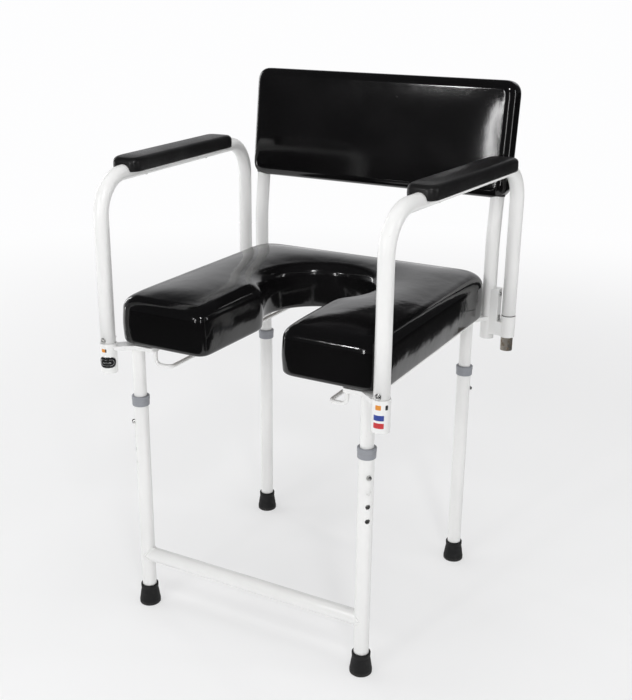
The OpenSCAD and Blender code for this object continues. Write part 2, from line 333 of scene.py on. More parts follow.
@dataclass(frozen=True)
class GlossSkin(Finish):
    """The wet-looking black skin of moulded foam, with slow ripples and fine grain."""

    colour: Colour = (0.0035, 0.0034, 0.0036)
    faded: Colour = (0.007, 0.0066, 0.007)
    ripple_scale: float = 17.0
    ripple_depth: float = 0.0009
    sag_depth: float = 0.00016
    grain_scale: float = 620.0
    grain_depth: float = 0.00003

    def make(self) -> Any:
        """Builds the material."""
        kit = ShaderKit(self.name)
        ripple = kit.noise(self.ripple_scale, 1.0)
        sag = kit.noise(85.0, 2.0)
        grain = kit.noise(self.grain_scale, 2.0)
        dust = kit.noise(880.0, 1.0).spread(0.78, 0.86)
        handled = kit.noise(6.0, 3.0).spread(0.42, 0.75)
        pinholes = kit.add(
            "ShaderNodeTexVoronoi", None, {"Vector": kit.place, "Scale": 95.0}, out="Distance"
        )
        pits = 1.0 - pinholes.spread(0.02, 0.07)
        normal = kit.bump(ripple, self.ripple_depth)
        normal = kit.bump(sag, self.sag_depth, normal)
        normal = kit.bump(grain - pits * 0.8, self.grain_depth, normal)
        tint = kit.blend(handled * 0.6, rgba(self.colour), rgba(self.faded))
        tint = kit.blend(dust * 0.35, tint, rgba((0.06, 0.058, 0.056)))
        return kit.finish(
            {
                "Base Color": tint,
                "Roughness": 0.085 + handled * 0.06 + dust * 0.25,
                "IOR": 1.52,
                "Coat Weight": 0.05,
                "Coat Roughness": 0.3,
                "Normal": normal,
            }
        )


@dataclass(frozen=True)
class SatinSkin(Finish):
    """The arm pads' firmer skin: satin black with leather-like grain."""

    colour: Colour = (0.0065, 0.0063, 0.0066)
    rubbed: Colour = (0.013, 0.0125, 0.0128)
    grain_scale: float = 700.0

    def make(self) -> Any:
        """Builds the material."""
        kit = ShaderKit(self.name)
        grain = kit.cells(self.grain_scale).spread(0.0, 0.22)
        soft = kit.noise(40.0, 2.0)
        rubbed = kit.noise(14.0, 3.0).spread(0.4, 0.75)
        normal = kit.bump(grain, 0.00005, kit.bump(soft, 0.00035))
        return kit.finish(
            {
                "Base Color": kit.blend(rubbed, rgba(self.colour), rgba(self.rubbed)),
                "Roughness": 0.36 - rubbed * 0.08 + (1.0 - grain) * 0.12,
                "Specular IOR Level": 0.3,
                "Coat Weight": 0.16,
                "Coat Roughness": 0.14,
                "Normal": normal,
            }
        )


@dataclass(frozen=True)
class MouldedPlastic(Finish):
    """Injection-moulded plastic with fine spark-eroded texture and flow marks."""

    colour: Colour = (0.2, 0.2, 0.2)
    scuffed: Colour = (0.3, 0.3, 0.3)
    gloss: float = 0.38

    def make(self) -> Any:
        """Builds the material."""
        kit = ShaderKit(self.name)
        texture = kit.noise(1500.0, 2.0)
        flow = kit.stretched_noise(30.0, (1.0, 1.0, 4.0))
        scuffs = kit.stretched_noise(160.0, (1.0, 1.0, 0.08)).spread(0.62, 0.8)
        tint = kit.blend(flow * 0.25 + scuffs * 0.4, rgba(self.colour), rgba(self.scuffed))
        return kit.finish(
            {
                "Base Color": tint,
                "Roughness": self.gloss + flow * 0.12 + scuffs * 0.1,
                "Normal": kit.bump(texture, 0.00004, kit.bump(flow, 0.0001)),
            }
        )


@dataclass(frozen=True)
class Rubber(Finish):
    """Matt black rubber with bloom and floor dust low down."""

    colour: Colour = (0.007, 0.007, 0.0075)
    bloom: Colour = (0.018, 0.018, 0.0185)
    dust: Colour = (0.12, 0.115, 0.105)

    def make(self) -> Any:
        """Builds the material."""
        kit = ShaderKit(self.name)
        height = kit.add("ShaderNodeSeparateXYZ", None, {0: kit.place}, out="Z")
        low = 1.0 - height.spread(0.001, 0.009)
        cloud = kit.noise(90.0, 4.0)
        grit = kit.noise(900.0, 2.0)
        tint = kit.blend(cloud.spread(0.4, 0.8), rgba(self.colour), rgba(self.bloom))
        tint = kit.blend(low * grit.spread(0.4, 0.7) * 0.5, tint, rgba(self.dust))
        return kit.finish(
            {
                "Base Color": tint,
                "Roughness": 0.55 + cloud * 0.2,
                "Specular IOR Level": 0.28,
                "Normal": kit.bump(grit, 0.00006, kit.bump(cloud, 0.0002)),
            }
        )


@dataclass(frozen=True)
class Steel(Finish):
    """Bare or plated steel with drawn lines and stains."""

    colour: Colour = (0.55, 0.54, 0.52)
    stain: Colour = (0.3, 0.26, 0.21)
    stained: float = 0.3
    gloss: float = 0.25

    def make(self) -> Any:
        """Builds the material."""
        kit = ShaderKit(self.name)
        lines = kit.stretched_noise(420.0, (1.0, 1.0, 0.05))
        cloud = kit.noise(120.0, 4.0)
        spots = cloud.spread(0.45, 0.7) * self.stained
        return kit.finish(
            {
                "Base Color": kit.blend(spots, rgba(self.colour), rgba(self.stain)),
                "Metallic": 1.0 - spots * 0.35,
                "Roughness": self.gloss + lines * 0.14 + spots * 0.3,
                "Normal": kit.bump(lines, 0.00002, kit.bump(cloud, 0.00003)),
            }
        )


@dataclass(frozen=True)
class Plywood(Finish):
    """Dark-stained birch board under varnish: long grain, darker pores."""

    light: Colour = (0.085, 0.066, 0.05)
    dark: Colour = (0.04, 0.03, 0.022)

    def make(self) -> Any:
        """Builds the material."""
        kit = ShaderKit(self.name)
        grain = kit.stretched_noise(26.0, (0.16, 3.0, 1.0))
        pores = kit.stretched_noise(240.0, (0.06, 1.0, 1.0)).spread(0.58, 0.72)
        rings = ((grain * 46.0).sine() * 0.5 + 0.5) * 0.55 + pores * 0.35
        return kit.finish(
            {
                "Base Color": kit.blend(rings, rgba(self.light), rgba(self.dark)),
                "Roughness": 0.48 + pores * 0.2,
                "Normal": kit.bump(grain - pores * 0.5, 0.0002),
            }
        )


@dataclass(frozen=True)
class PrintedFilm(Finish):
    """A plain coloured label film with a slightly mottled print."""

    colour: Colour = (0.5, 0.5, 0.5)
    gloss: float = 0.3

    def make(self) -> Any:
        """Builds the material."""
        kit = ShaderKit(self.name)
        mottle = kit.noise(700.0, 3.0)
        worn = kit.noise(260.0, 3.0).spread(0.6, 0.8)
        paler = tuple(min(1.0, c * 0.7 + 0.12) for c in self.colour)
        return kit.finish(
            {
                "Base Color": kit.blend(
                    mottle * 0.15 + worn * 0.25, rgba(self.colour), rgba(paler)
                ),
                "Roughness": self.gloss + worn * 0.2,
                "Normal": kit.bump(mottle, 0.00002),
            }
        )


class Finishes:
    """All the chair's materials, made once."""

    def __init__(self) -> None:
        """Makes every material."""
        self.of_slot: dict[Slot, Any] = {
            Slot.WHITE_FRAME: PowderCoat("white_powder_coat").make(),
            Slot.BLACK_SKIN: GlossSkin("gloss_black_skin").make(),
            Slot.BOARD: Plywood("sealed_board").make(),
            Slot.BLACK_PLASTIC: MouldedPlastic(
                "black_plastic", (0.014, 0.014, 0.015), (0.04, 0.04, 0.042), 0.42
            ).make(),
            Slot.GREY_PLASTIC: MouldedPlastic(
                "grey_plastic", (0.27, 0.28, 0.305), (0.34, 0.35, 0.37), 0.38
            ).make(),
            Slot.BUSH_PLASTIC: MouldedPlastic(
                "bush_nylon", (0.045, 0.045, 0.048), (0.09, 0.09, 0.09), 0.35
            ).make(),
            Slot.BARE_STEEL: Steel(
                "bare_steel", (0.40, 0.37, 0.33), (0.20, 0.15, 0.10), 0.85, 0.34
            ).make(),
            Slot.BRIGHT_STEEL: Steel(
                "plated_steel", (0.62, 0.62, 0.61), (0.35, 0.34, 0.30), 0.25, 0.2
            ).make(),
            Slot.TIP_RUBBER: Rubber("tip_rubber").make(),
        }
        self.satin = SatinSkin("satin_black_skin").make()
        self.back = GlossSkin(
            "back_black_skin", ripple_depth=0.0003, sag_depth=0.00004, grain_depth=0.000036
        ).make()
        self.badge_black = PrintedFilm("badge_black", (0.006, 0.006, 0.007), 0.18).make()
        self.badge_silver = Steel("badge_rim", (0.7, 0.7, 0.7), (0.5, 0.5, 0.5), 0.1, 0.2).make()
        self.film = {
            word: PrintedFilm(f"film_{word}", colour).make()
            for word, colour in (
                ("orange", (0.72, 0.27, 0.03)),
                ("black", (0.012, 0.012, 0.013)),
                ("red", (0.55, 0.035, 0.04)),
                ("blue", (0.03, 0.06, 0.30)),
                ("white", (0.8, 0.8, 0.8)),
            )
        }

    def __getitem__(self, slot: Slot) -> Any:
        """The material of a slot."""
        return self.of_slot[slot]

    def dress_frame(self) -> None:
        """Gives each CAD node the finish of the slot it was packed with."""
        for name, node in sorted(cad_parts.items()):
            for holder in node.material_slots:
                holder.material = self[Slot(holder.material.name.split(".")[0])]
            log.info("node %s dressed", name)


# ---------------------------------------------------------------- meshes


@dataclass(frozen=True)
class Arc:
    """Part of a flat outline: an arc from one angle to another, in degrees."""

    x: float
    y: float
    radius: float
    start: float
    end: float

    def points(self) -> Points:
        """Points along the arc, one for each two degrees or so."""
        count = max(6, int(abs(self.end - self.start) / 2))
        turn = np.radians(np.linspace(self.start, self.end, count))
        return np.column_stack(
            [self.x + self.radius * np.cos(turn), self.y + self.radius * np.sin(turn)]
        )


def closed_outline(arcs: Sequence[Arc], step: float, soften: int = 2) -> Points:
    """Joins arcs with straight lines into one evenly spaced closed outline.

    Args:
        arcs: the arcs in order, anticlockwise round the solid.
        step: the spacing of the points.
        soften: how often neighbours are averaged where arcs meet.

    Returns:
        An array of points.
    """
    raw = np.vstack([arc.points() for arc in arcs])
    raw = np.vstack([raw, raw[:1]])
    along = np.concatenate([[0.0], np.cumsum(np.linalg.norm(np.diff(raw, axis=0), axis=1))])
    count = int(along[-1] / step)
    even = np.linspace(0.0, along[-1], count, endpoint=False)
    line = np.column_stack([np.interp(even, along, raw[:, k]) for k in (0, 1)])
    for _ in range(soften):
        line = (np.roll(line, 1, 0) + 2 * line + np.roll(line, -1, 0)) / 4
    return line


def rounded_box(half_w: float, half_h: float, corner: float, step: float, soften: int) -> Points:
    """The outline of a rectangle with rounded corners, about its middle.

    Args:
        half_w: half its width.
        half_h: half its height.
        corner: its corner radius.
        step: the spacing of the points.
        soften: how often neighbours are averaged.

    Returns:
        An array of points.
    """
    x, y, r = half_w - corner, half_h - corner, corner
    arcs = [
        Arc(x, -y, r, -90, 0), Arc(x, y, r, 0, 90),
        Arc(-x, y, r, 90, 180), Arc(-x, -y, r, 180, 270),
    ]
    return closed_outline(arcs, step, soften)


def six_sided(points: Points, chosen: Any, narrowed: float) -> None:
    """Turns round rings of a lathed piece into hexagons.

    Args:
        points: the piece's points, changed in place.
        chosen: a mask of the ones to move.
        narrowed: the hexagon's size against the round it came from.
    """
    turn = np.arctan2(points[:, 1], points[:, 0])
    sixth = math.pi / 3
    stretch = narrowed / np.cos((turn % sixth) - sixth / 2)
    points[chosen, :2] *= stretch[chosen, None]


def inward(line: Points) -> Points:
    """The unit normals of an anticlockwise outline that point into it."""
    ahead = np.roll(line, -1, 0) - np.roll(line, 1, 0)
    normal = np.column_stack([-ahead[:, 1], ahead[:, 0]])
    return normal / np.linalg.norm(normal, axis=1, keepdims=True)


def shrunk(line: Points, insets: Sequence[float], pace: float = 1.0) -> list[Points]:
    """Outlines inside an outline, with tight corners kept clear of themselves.

    Args:
        line: the closed outline.
        insets: how far inside each wanted outline is.
        pace: the longest single step inwards.

    Returns:
        One outline for each inset, each with the first one's number of points.
    """
    found: dict[float, Points] = {}
    here, depth = line, 0.0
    for inset in sorted(set(insets)):
        steps = max(1, math.ceil((inset - depth) / pace))
        for _ in range(steps if inset > depth else 0):
            here = here + inward(here) * (inset - depth) / steps
            for _ in range(3):
                way = inward(here)
                along = np.column_stack([way[:, 1], -way[:, 0]])
                pull = (np.roll(here, 1, 0) + np.roll(here, -1, 0)) / 2 - here
                slide = (pull * along).sum(1, keepdims=True)
                sink = (pull * way).sum(1, keepdims=True)
                here = here + along * slide * 0.5 + way * sink * 0.06
        depth = inset
        found[inset] = here
    return [found[inset] for inset in insets]


def depth_inside(places: Points, line: Points) -> Points:
    """How far each place is inside an outline; below zero outside it.

    Args:
        places: the places to test.
        line: the closed outline.

    Returns:
        One distance for each place.
    """
    ends = np.roll(line, -1, 0)
    span = ends - line
    length = (span**2).sum(1)
    nearest = np.full(len(places), 1e9)
    inside = np.zeros(len(places), bool)
    for start, end, way, size in zip(line, ends, span, length):
        share = np.clip(((places - start) @ way) / size, 0.0, 1.0)
        gap = places - start - share[:, None] * way
        nearest = np.minimum(nearest, (gap**2).sum(1))
        if (start[1] > end[1]) or (start[1] < end[1]):
            crosses = (start[1] > places[:, 1]) != (end[1] > places[:, 1])
            at = start[0] + (places[:, 1] - start[1]) * way[0] / way[1]
            inside ^= crosses & (places[:, 0] < at)
    return np.where(inside, 1.0, -1.0) * np.sqrt(nearest)


def new_object(name: str, points: Iterable[Sequence[float]], faces: Faces, material: Any) -> Any:
    """Makes a smooth mesh object at the origin with one material."""
    mesh = bpy.data.meshes.new(name)
    mesh.from_pydata([tuple(map(float, p)) for p in points], [], faces)
    mesh.update()
    mesh.materials.append(material)
    piece = bpy.data.objects.new(name, mesh)
    bpy.context.collection.objects.link(piece)
    tidy_mesh(piece)
    return piece


def tidy_mesh(piece: Any, sharp_degrees: float = 40.0) -> None:
    """Merges doubles, turns faces outwards and shades smooth up to an angle."""
    work = bmesh.new()
    work.from_mesh(piece.data)
    bmesh.ops.remove_doubles(work, verts=work.verts, dist=1e-6)
    bmesh.ops.recalc_face_normals(work, faces=work.faces)
    for face in work.faces:
        face.smooth = True
    for edge in work.edges:
        edge.smooth = edge.calc_face_angle(0.0) < math.radians(sharp_degrees)
    work.to_mesh(piece.data)
    work.free()
    piece.data.update()


def ring_faces(first: int, second: int, count: int) -> Faces:
    """Quads between two rings of the same count."""
    return [
        (first + i, first + (i + 1) % count, second + (i + 1) % count, second + i)
        for i in range(count)
    ]


def lathe(profile: Sequence[tuple[float, float]], segments: int = 64) -> tuple[Points, Faces]:
    """Turns a profile of (radius, height) about Z into a closed mesh.

    Args:
        profile: the points from the bottom's middle to the top's middle.
        segments: the number of sides.

    Returns:
        Points and faces.
    """
    turn = np.linspace(0.0, 2 * math.pi, segments, endpoint=False)
    rings = [
        np.column_stack([r * np.cos(turn), r * np.sin(turn), np.full(segments, h)])
        for r, h in profile
    ]
    faces: Faces = []
    for k in range(len(rings) - 1):
        faces += ring_faces(k * segments, (k + 1) * segments, segments)
    return np.vstack(rings), faces


def rounded(
    corners: Sequence[tuple[float, float, float]], steps: int = 5
) -> list[tuple[float, float]]:
    """Rounds the corners of an open line.

    Args:
        corners: x, y and the corner's radius, which is 0 to keep it sharp.
        steps: how many straight steps a corner gets.

    Returns:
        The points of the rounded line.
    """
    out: list[tuple[float, float]] = []
    for k, (x, y, radius) in enumerate(corners):
        if radius <= 0 or k in (0, len(corners) - 1):
            out.append((x, y))
            continue
        here = Vector((x, y))
        back = (Vector(corners[k - 1][:2]) - here).normalized()
        on = (Vector(corners[k + 1][:2]) - here).normalized()
        half = back.angle(on) / 2
        reach = radius / math.tan(half)
        for step in range(steps + 1):
            share = step / steps
            a, b = here + back * reach, here + on * reach
            point = a * (1 - share) ** 2 + here * 2 * share * (1 - share) + b * share**2
            out.append((point.x, point.y))
    return out


@dataclass(frozen=True)
class Section:
    """The edge profile of a moulded slab, from the underside to the crown."""

    height: float
    foot_round: float
    edge_reach: float
    edge_drop: float
    bulge: float = 0.0
    crown: float = 0.0
    crown_reach: float = 40.0
    foot_inset: float = 16.0
    power: float = 2.2

    def rings(self) -> list[tuple[float, float]]:
        """Inset and height of each ring, from the underside up."""
        out = [(self.foot_inset, 0.0), (self.foot_round + 1.5, 0.0)]
        for turn in np.linspace(0.0, math.pi / 2, 7):
            out.append(
                (
                    self.foot_round * (1 - math.sin(turn)),
                    self.foot_round * (1 - math.cos(turn)),
                )
            )
        rim = self.height - self.crown
        wall = rim - self.edge_drop - self.foot_round
        steps = max(2, int(wall / 6))
        for k in range(1, steps):
            share = k / steps
            out.append(
                (-self.bulge * math.sin(math.pi * share), self.foot_round + wall * share)
            )
        slope = self.crown / self.crown_reach
        for turn in np.linspace(0.0, math.pi / 2, 25):
            across = self.edge_reach * (1 - math.cos(turn))
            up = rim - self.edge_drop * (1 - math.sin(turn) ** (2 / self.power))
            steep = (up - out[-1][1]) > slope * (across - out[-1][0])
            out.append((across, up))
            if turn > 1.0 and not steep:
                break
        return out

    def crown_at(self, depth: Points) -> Points:
        """How much the top rises at a depth inside the last ring."""
        return self.crown * (1 - np.exp(-depth / self.crown_reach))


def relaxed(height: Points, fixed: int, cells: Faces, index: Sequence[int]) -> Points:
    """Evens out the heights of a cap, so that no ridge shows in its gloss.

    Args:
        height: the heights of the rim's points and of the ones inside it.
        fixed: how many of them belong to the rim and stay.
        cells: the cap's triangles.
        index: for each of the triangles' points, its place in the heights.

    Returns:
        The new heights of the points inside the rim.
    """
    corner = np.array(index)[np.array([cell for cell in cells if len(cell) == 3])]
    start = np.concatenate([corner[:, k] for k in (0, 1, 2, 1, 2, 0)])
    end = np.concatenate([corner[:, k] for k in (1, 2, 0, 0, 1, 2)])
    shared = np.maximum(np.bincount(start, minlength=len(height)), 1)
    for _ in range(60):
        mean = np.bincount(start, height[end], len(height)) / shared
        height = np.concatenate([height[:fixed], (height[fixed:] + mean[fixed:]) / 2])
    return height[fixed:]


def slab(line: Points, section: Section, spacing: float) -> tuple[Points, Faces]:
    """A closed moulded slab: rings round an outline, and fine caps.

    Args:
        line: the outline, anticlockwise.
        section: the edge profile.
        spacing: the spacing of the points inside the caps.

    Returns:
        Points (along, across, up) and faces.
    """
    count = len(line)
    levels = section.rings()
    wall = min(inset for inset, _ in levels)
    insets = [inset for inset, _ in levels]
    nested = shrunk(line + inward(line) * wall, [inset - wall for inset in insets])
    rings = [
        np.column_stack([ring, np.full(count, height)])
        for ring, (_, height) in zip(nested, levels)
    ]
    points = [np.vstack(rings)]
    faces: Faces = []
    for k in range(len(rings) - 1):
        faces += ring_faces(k * count, (k + 1) * count, count)
    used = len(rings) * count
    for first, crowned in ((0, False), ((len(rings) - 1) * count, True)):
        rim = points[0][first : first + count]
        gap = spacing if crowned else spacing * 3
        low, high = rim[:, :2].min(0), rim[:, :2].max(0)
        across = np.arange(low[0], high[0], gap)
        up = np.arange(low[1], high[1], gap * math.sqrt(3) / 2)
        grid = np.array([(x + (j % 2) * gap / 2, y) for j, y in enumerate(up) for x in across])
        depth = depth_inside(grid, rim[:, :2])
        keep = depth > gap * 0.6
        grid, depth = grid[keep], depth[keep]
        height = rim[0, 2] + (section.crown_at(depth) if crowned else 0 * depth)
        flat = [Vector(p) for p in np.vstack([rim[:, :2], grid])]
        edges = [(i, (i + 1) % count) for i in range(count)]
        _, _, cells, origin, _, _ = delaunay_2d_cdt(flat, edges, [], 1, 1e-7)
        index = [o[0] for o in origin]
        if crowned:
            height = relaxed(np.concatenate([rim[:, 2], height]), count, cells, index)
        place = [first + i if i < count else used + i - count for i in index]
        faces += [tuple(place[i] for i in cell) for cell in cells]
        points.append(np.column_stack([grid, height]))
        used += len(grid)
    return np.vstack(points), faces


# ---------------------------------------------------------------- grown pieces


class GrowTree(NodeKit):
    """A Geometry Nodes tree with named inputs, used through `grow`."""

    def __init__(self, name: str, inputs: dict[str, tuple[str, Any]]) -> None:
        """Starts a tree.

        Args:
            name: the tree's name.
            inputs: for each input's name, its socket type and default value.
        """
        tree = bpy.data.node_groups.new(name, "GeometryNodeTree")
        super().__init__(tree)
        face = tree.interface
        face.new_socket("Geometry", in_out="INPUT", socket_type="NodeSocketGeometry")
        for label, (kind, value) in inputs.items():
            socket = face.new_socket(label, in_out="INPUT", socket_type=kind)
            if value is not None:
                socket.default_value = value
        face.new_socket("Geometry", in_out="OUTPUT", socket_type="NodeSocketGeometry")
        self.entry = tree.nodes.new("NodeGroupInput")

    def given(self, label: str) -> Sock:
        """The value of a named input."""
        return Sock(self, self.entry.outputs[label])

    def close(self, geometry: Sock) -> Any:
        """Ends the tree in Realize Instances and Set Material.

        Args:
            geometry: what the tree has grown.

        Returns:
            The finished tree.
        """
        solid = self.add("GeometryNodeRealizeInstances", None, {0: geometry})
        smooth = self.add("GeometryNodeSetShadeSmooth", None, {"Geometry": solid})
        coated = self.add(
            "GeometryNodeSetMaterial", None, {"Geometry": smooth, "Material": self.given("Finish")}
        )
        end = self.tree.nodes.new("NodeGroupOutput")
        self.tree.links.new(coated.socket, end.inputs[0])
        return self.tree


def bake(piece: Any) -> None:
    """Turns what a piece's modifiers give into its plain mesh."""
    shown = piece.evaluated_get(bpy.context.evaluated_depsgraph_get())
    plain = bpy.data.meshes.new_from_object(shown)
    piece.modifiers.clear()
    piece.data = plain


def grow(
    name: str,
    tree: Any,
    values: dict[str, Any],
    points: Sequence[Sequence[float]],
    edges: Sequence[tuple[int, int]] = (),
    attributes: Optional[dict[str, Sequence[Sequence[float]]]] = None,
) -> Any:
    """Grows a piece with a Geometry Nodes tree and makes it a plain mesh.

    Args:
        name: the piece's name.
        tree: the finished tree.
        values: the tree's inputs by name.
        points: the points of the mesh that the tree starts from.
        edges: its edges.
        attributes: vector values for each point.

    Returns:
        The piece, with no modifier left on it.
    """
    mesh = bpy.data.meshes.new(name)
    mesh.from_pydata([tuple(map(float, p)) for p in points], list(edges), [])
    for label, rows in (attributes or {}).items():
        layer = mesh.attributes.new(label, "FLOAT_VECTOR", "POINT")
        for k, row in enumerate(rows):
            layer.data[k].vector = row
    piece = bpy.data.objects.new(name, mesh)
    bpy.context.collection.objects.link(piece)
    grower = piece.modifiers.new("grow", "NODES")
    grower.node_group = tree
    for item in tree.interface.items_tree:
        if item.in_out == "INPUT" and item.name in values:
            grower[item.identifier] = values[item.name]
    bake(piece)
    tidy_mesh(piece)
    return piece


BEAD_STEP = 0.55 * MM


class Growth:
    """The three trees: bent tubes, weld beads and fasteners."""

    def __init__(self) -> None:
        """Builds the trees."""
        self.tube = self._tube_tree()
        self.weld = self._weld_tree()
        self.fastener = self._fastener_tree()

    @staticmethod
    def _tube_tree() -> Any:
        """A tube along a line whose corners are bent to one radius."""
        tree = GrowTree(
            "bent_tube",
            {
                "Tube Radius": ("NodeSocketFloat", 0.0127),
                "Bend Radius": ("NodeSocketFloat", 0.05),
                "Bend Steps": ("NodeSocketInt", 24),
                "Sides": ("NodeSocketInt", 48),
                "Finish": ("NodeSocketMaterial", None),
            },
        )
        path = tree.add("GeometryNodeMeshToCurve", None, {0: tree.given("Geometry")})
        bent = tree.add(
            "GeometryNodeFilletCurve",
            {"mode": "POLY"},
            {"Curve": path, "Count": tree.given("Bend Steps"), "Radius": tree.given("Bend Radius")},
        )
        ring = tree.add(
            "GeometryNodeCurvePrimitiveCircle",
            None,
            {"Resolution": tree.given("Sides"), "Radius": tree.given("Tube Radius")},
        )
        tube = tree.add(
            "GeometryNodeCurveToMesh", None, {"Curve": bent, "Profile Curve": ring}
        )
        return tree.close(tube)

    @staticmethod
    def _weld_tree() -> Any:
        """A weld bead along a line, rippled like laid-down drops."""
        tree = GrowTree(
            "weld_bead",
            {
                "Bead Radius": ("NodeSocketFloat", 0.002),
                "Drop Pitch": ("NodeSocketFloat", 0.0022),
                "Drop Depth": ("NodeSocketFloat", 0.12),
                "Unevenness": ("NodeSocketFloat", 0.16),
                "Seed": ("NodeSocketInt", 7),
                "Finish": ("NodeSocketMaterial", None),
            },
        )
        path = tree.add("GeometryNodeMeshToCurve", None, {0: tree.given("Geometry")})
        fine = tree.add(
            "GeometryNodeResampleCurve",
            {"mode": "LENGTH"},
            {"Curve": path, "Length": BEAD_STEP},
        )
        along = tree.add("GeometryNodeSplineParameter", out="Length")
        drops = (along / tree.given("Drop Pitch") * (2 * math.pi)).sine()
        place = tree.add("GeometryNodeInputPosition")
        uneven = tree.add(
            "ShaderNodeTexNoise",
            {"noise_dimensions": "4D"},
            {"Vector": place, "W": tree.given("Seed"), "Scale": 160.0, "Detail": 1.0},
        )
        size = 1.0 + drops * tree.given("Drop Depth") + (uneven - 0.5) * tree.given("Unevenness")
        swollen = tree.add("GeometryNodeSetCurveRadius", None, {"Curve": fine, "Radius": size})
        ring = tree.add(
            "GeometryNodeCurvePrimitiveCircle",
            None,
            {"Resolution": 10, "Radius": tree.given("Bead Radius")},
        )
        bead = tree.add(
            "GeometryNodeCurveToMesh",
            None,
            {"Curve": swollen, "Profile Curve": ring, "Fill Caps": True},
        )
        return tree.close(bead)

    @staticmethod
    def _fastener_tree() -> Any:
        """One head on each point, turned along the point's "axis"."""
        tree = GrowTree(
            "fasteners",
            {
                "Head": ("NodeSocketObject", None),
                "Size": ("NodeSocketFloat", 1.0),
                "Seed": ("NodeSocketInt", 3),
                "Finish": ("NodeSocketMaterial", None),
            },
        )
        head = tree.add(
            "GeometryNodeObjectInfo",
            None,
            {"Object": tree.given("Head"), "As Instance": True},
            out="Geometry",
        )
        axis = tree.add(
            "GeometryNodeInputNamedAttribute",
            {"data_type": "FLOAT_VECTOR"},
            {"Name": "axis"},
            out="Attribute",
        )
        turned = tree.add(
            "FunctionNodeAlignRotationToVector", {"axis": "Z"}, {"Vector": axis}
        )
        spin = tree.add(
            "FunctionNodeRandomValue",
            {"data_type": "FLOAT"},
            {"Seed": tree.given("Seed"), 2: 0.0, 3: 6.28},
            out=1,
        )
        about = tree.add(
            "FunctionNodeAxisAngleToRotation", None, {"Axis": (0.0, 0.0, 1.0), "Angle": spin}
        )
        loose = tree.add(
            "FunctionNodeRotateRotation",
            {"rotation_space": "LOCAL"},
            {"Rotation": turned, "Rotate By": about},
        )
        heads = tree.add(
            "GeometryNodeInstanceOnPoints",
            None,
            {
                "Points": tree.given("Geometry"),
                "Instance": head,
                "Rotation": loose,
                "Scale": tree.given("Size"),
            },
        )
        return tree.close(heads)


# ---------------------------------------------------------------- sub-assemblies


def ride_as(piece: Any, body: str, slot: Slot, *replaced: str) -> Any:
    """Puts a piece on a body and hides the CAD nodes that it stands for.

    Args:
        piece: the piece.
        body: the CAD body.
        slot: the record's material slot; not used.
        replaced: the CAD nodes that the piece stands for.

    Returns:
        The same piece.
    """
    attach(piece, body)
    if replaced:
        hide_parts(*replaced)
    log.info("%s: %d faces, rides on %s", piece.name, len(piece.data.polygons), body)
    return piece


def leaning() -> tuple[Vector, Vector]:
    """The directions up and backward of the leaning backrest and its posts."""
    lean = math.radians(LEAN_DEGREES)
    up = Vector((0.0, math.sin(lean), math.cos(lean)))
    return up, Vector((0.0, math.cos(lean), -math.sin(lean)))


def plate_foot() -> float:
    """The height of the corner plates' undersides, in mm."""
    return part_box("corner_plate_fl")[0][2] / MM


def middle(node: str) -> Vector:
    """The middle of a CAD node's box."""
    low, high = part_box(node)
    return (Vector(low) + Vector(high)) / 2


@dataclass
class SeatPad:
    """The moulded keyhole seat, open at the front. Lengths in mm."""

    half_width: float = 246.0
    front: float = 231.0
    front_corner: float = 30.0
    rear: float = 246.0
    rear_corner: float = 52.0
    hole_radius: float = 101.0
    hole_back: float = 30.0
    slot_front: float = 69.0
    slot_inner: float = 66.0
    lip: float = 18.0
    neck: float = 30.0
    fall: float = 4.0
    fall_reach: float = 85.0
    step: float = 4.0
    section: Section = Section(
        height=93.5, foot_round=8.0, edge_reach=29.0, edge_drop=24.0,
        bulge=1.2, crown=9.5, crown_reach=46.0, foot_inset=17.0,
    )

    def outline(self) -> Points:
        """The seat's plan, anticlockwise from the right lobe's front."""
        w, r = self.half_width, self.front_corner
        back = self.rear_corner
        neck_x = self.slot_inner + self.neck
        neck_y = self.hole_back - math.sqrt((self.hole_radius + self.neck) ** 2 - neck_x**2)
        meet = math.degrees(math.atan2(self.hole_back - neck_y, neck_x))
        front_x = self.slot_front + self.lip
        front_y = -self.front + self.lip
        arcs = [
            Arc(w - r, -self.front + r, r, -90, 0),
            Arc(w - back, self.rear - back, back, 0, 90),
            Arc(-w + back, self.rear - back, back, 90, 180),
            Arc(-w + r, -self.front + r, r, 180, 270),
            Arc(-front_x, front_y, self.lip, 270, 360),
            Arc(-neck_x, neck_y, self.neck, 0, meet),
            Arc(0.0, self.hole_back, self.hole_radius, 180 + meet, -meet),
            Arc(neck_x, neck_y, self.neck, 180 - meet, 180),
            Arc(front_x, front_y, self.lip, 180, 270),
        ]
        return closed_outline(arcs, self.step, 4)

    def build(self, finishes: Finishes) -> Any:
        """Makes the seat pad and puts it on the frame.

        Args:
            finishes: the chair's materials.

        Returns:
            The piece.
        """
        low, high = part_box("seat_cushion")
        points, faces = slab(self.outline(), self.section, self.step * 1.2)
        reach = self.fall_reach
        near_front = np.clip((reach - self.front - points[:, 1]) / reach, 0, 1)
        points[:, 2] -= self.fall * near_front**2 * points[:, 2] / self.section.height
        points = points * MM
        points[:, 1] += (low[1] + high[1]) / 2 - (self.rear - self.front) / 2 * MM
        points[:, 2] += low[2]
        piece = new_object("seat_skin", points, faces, finishes[Slot.BLACK_SKIN])
        ride_as(piece, "frame", Slot.BLACK_SKIN, "seat_cushion")
        return piece


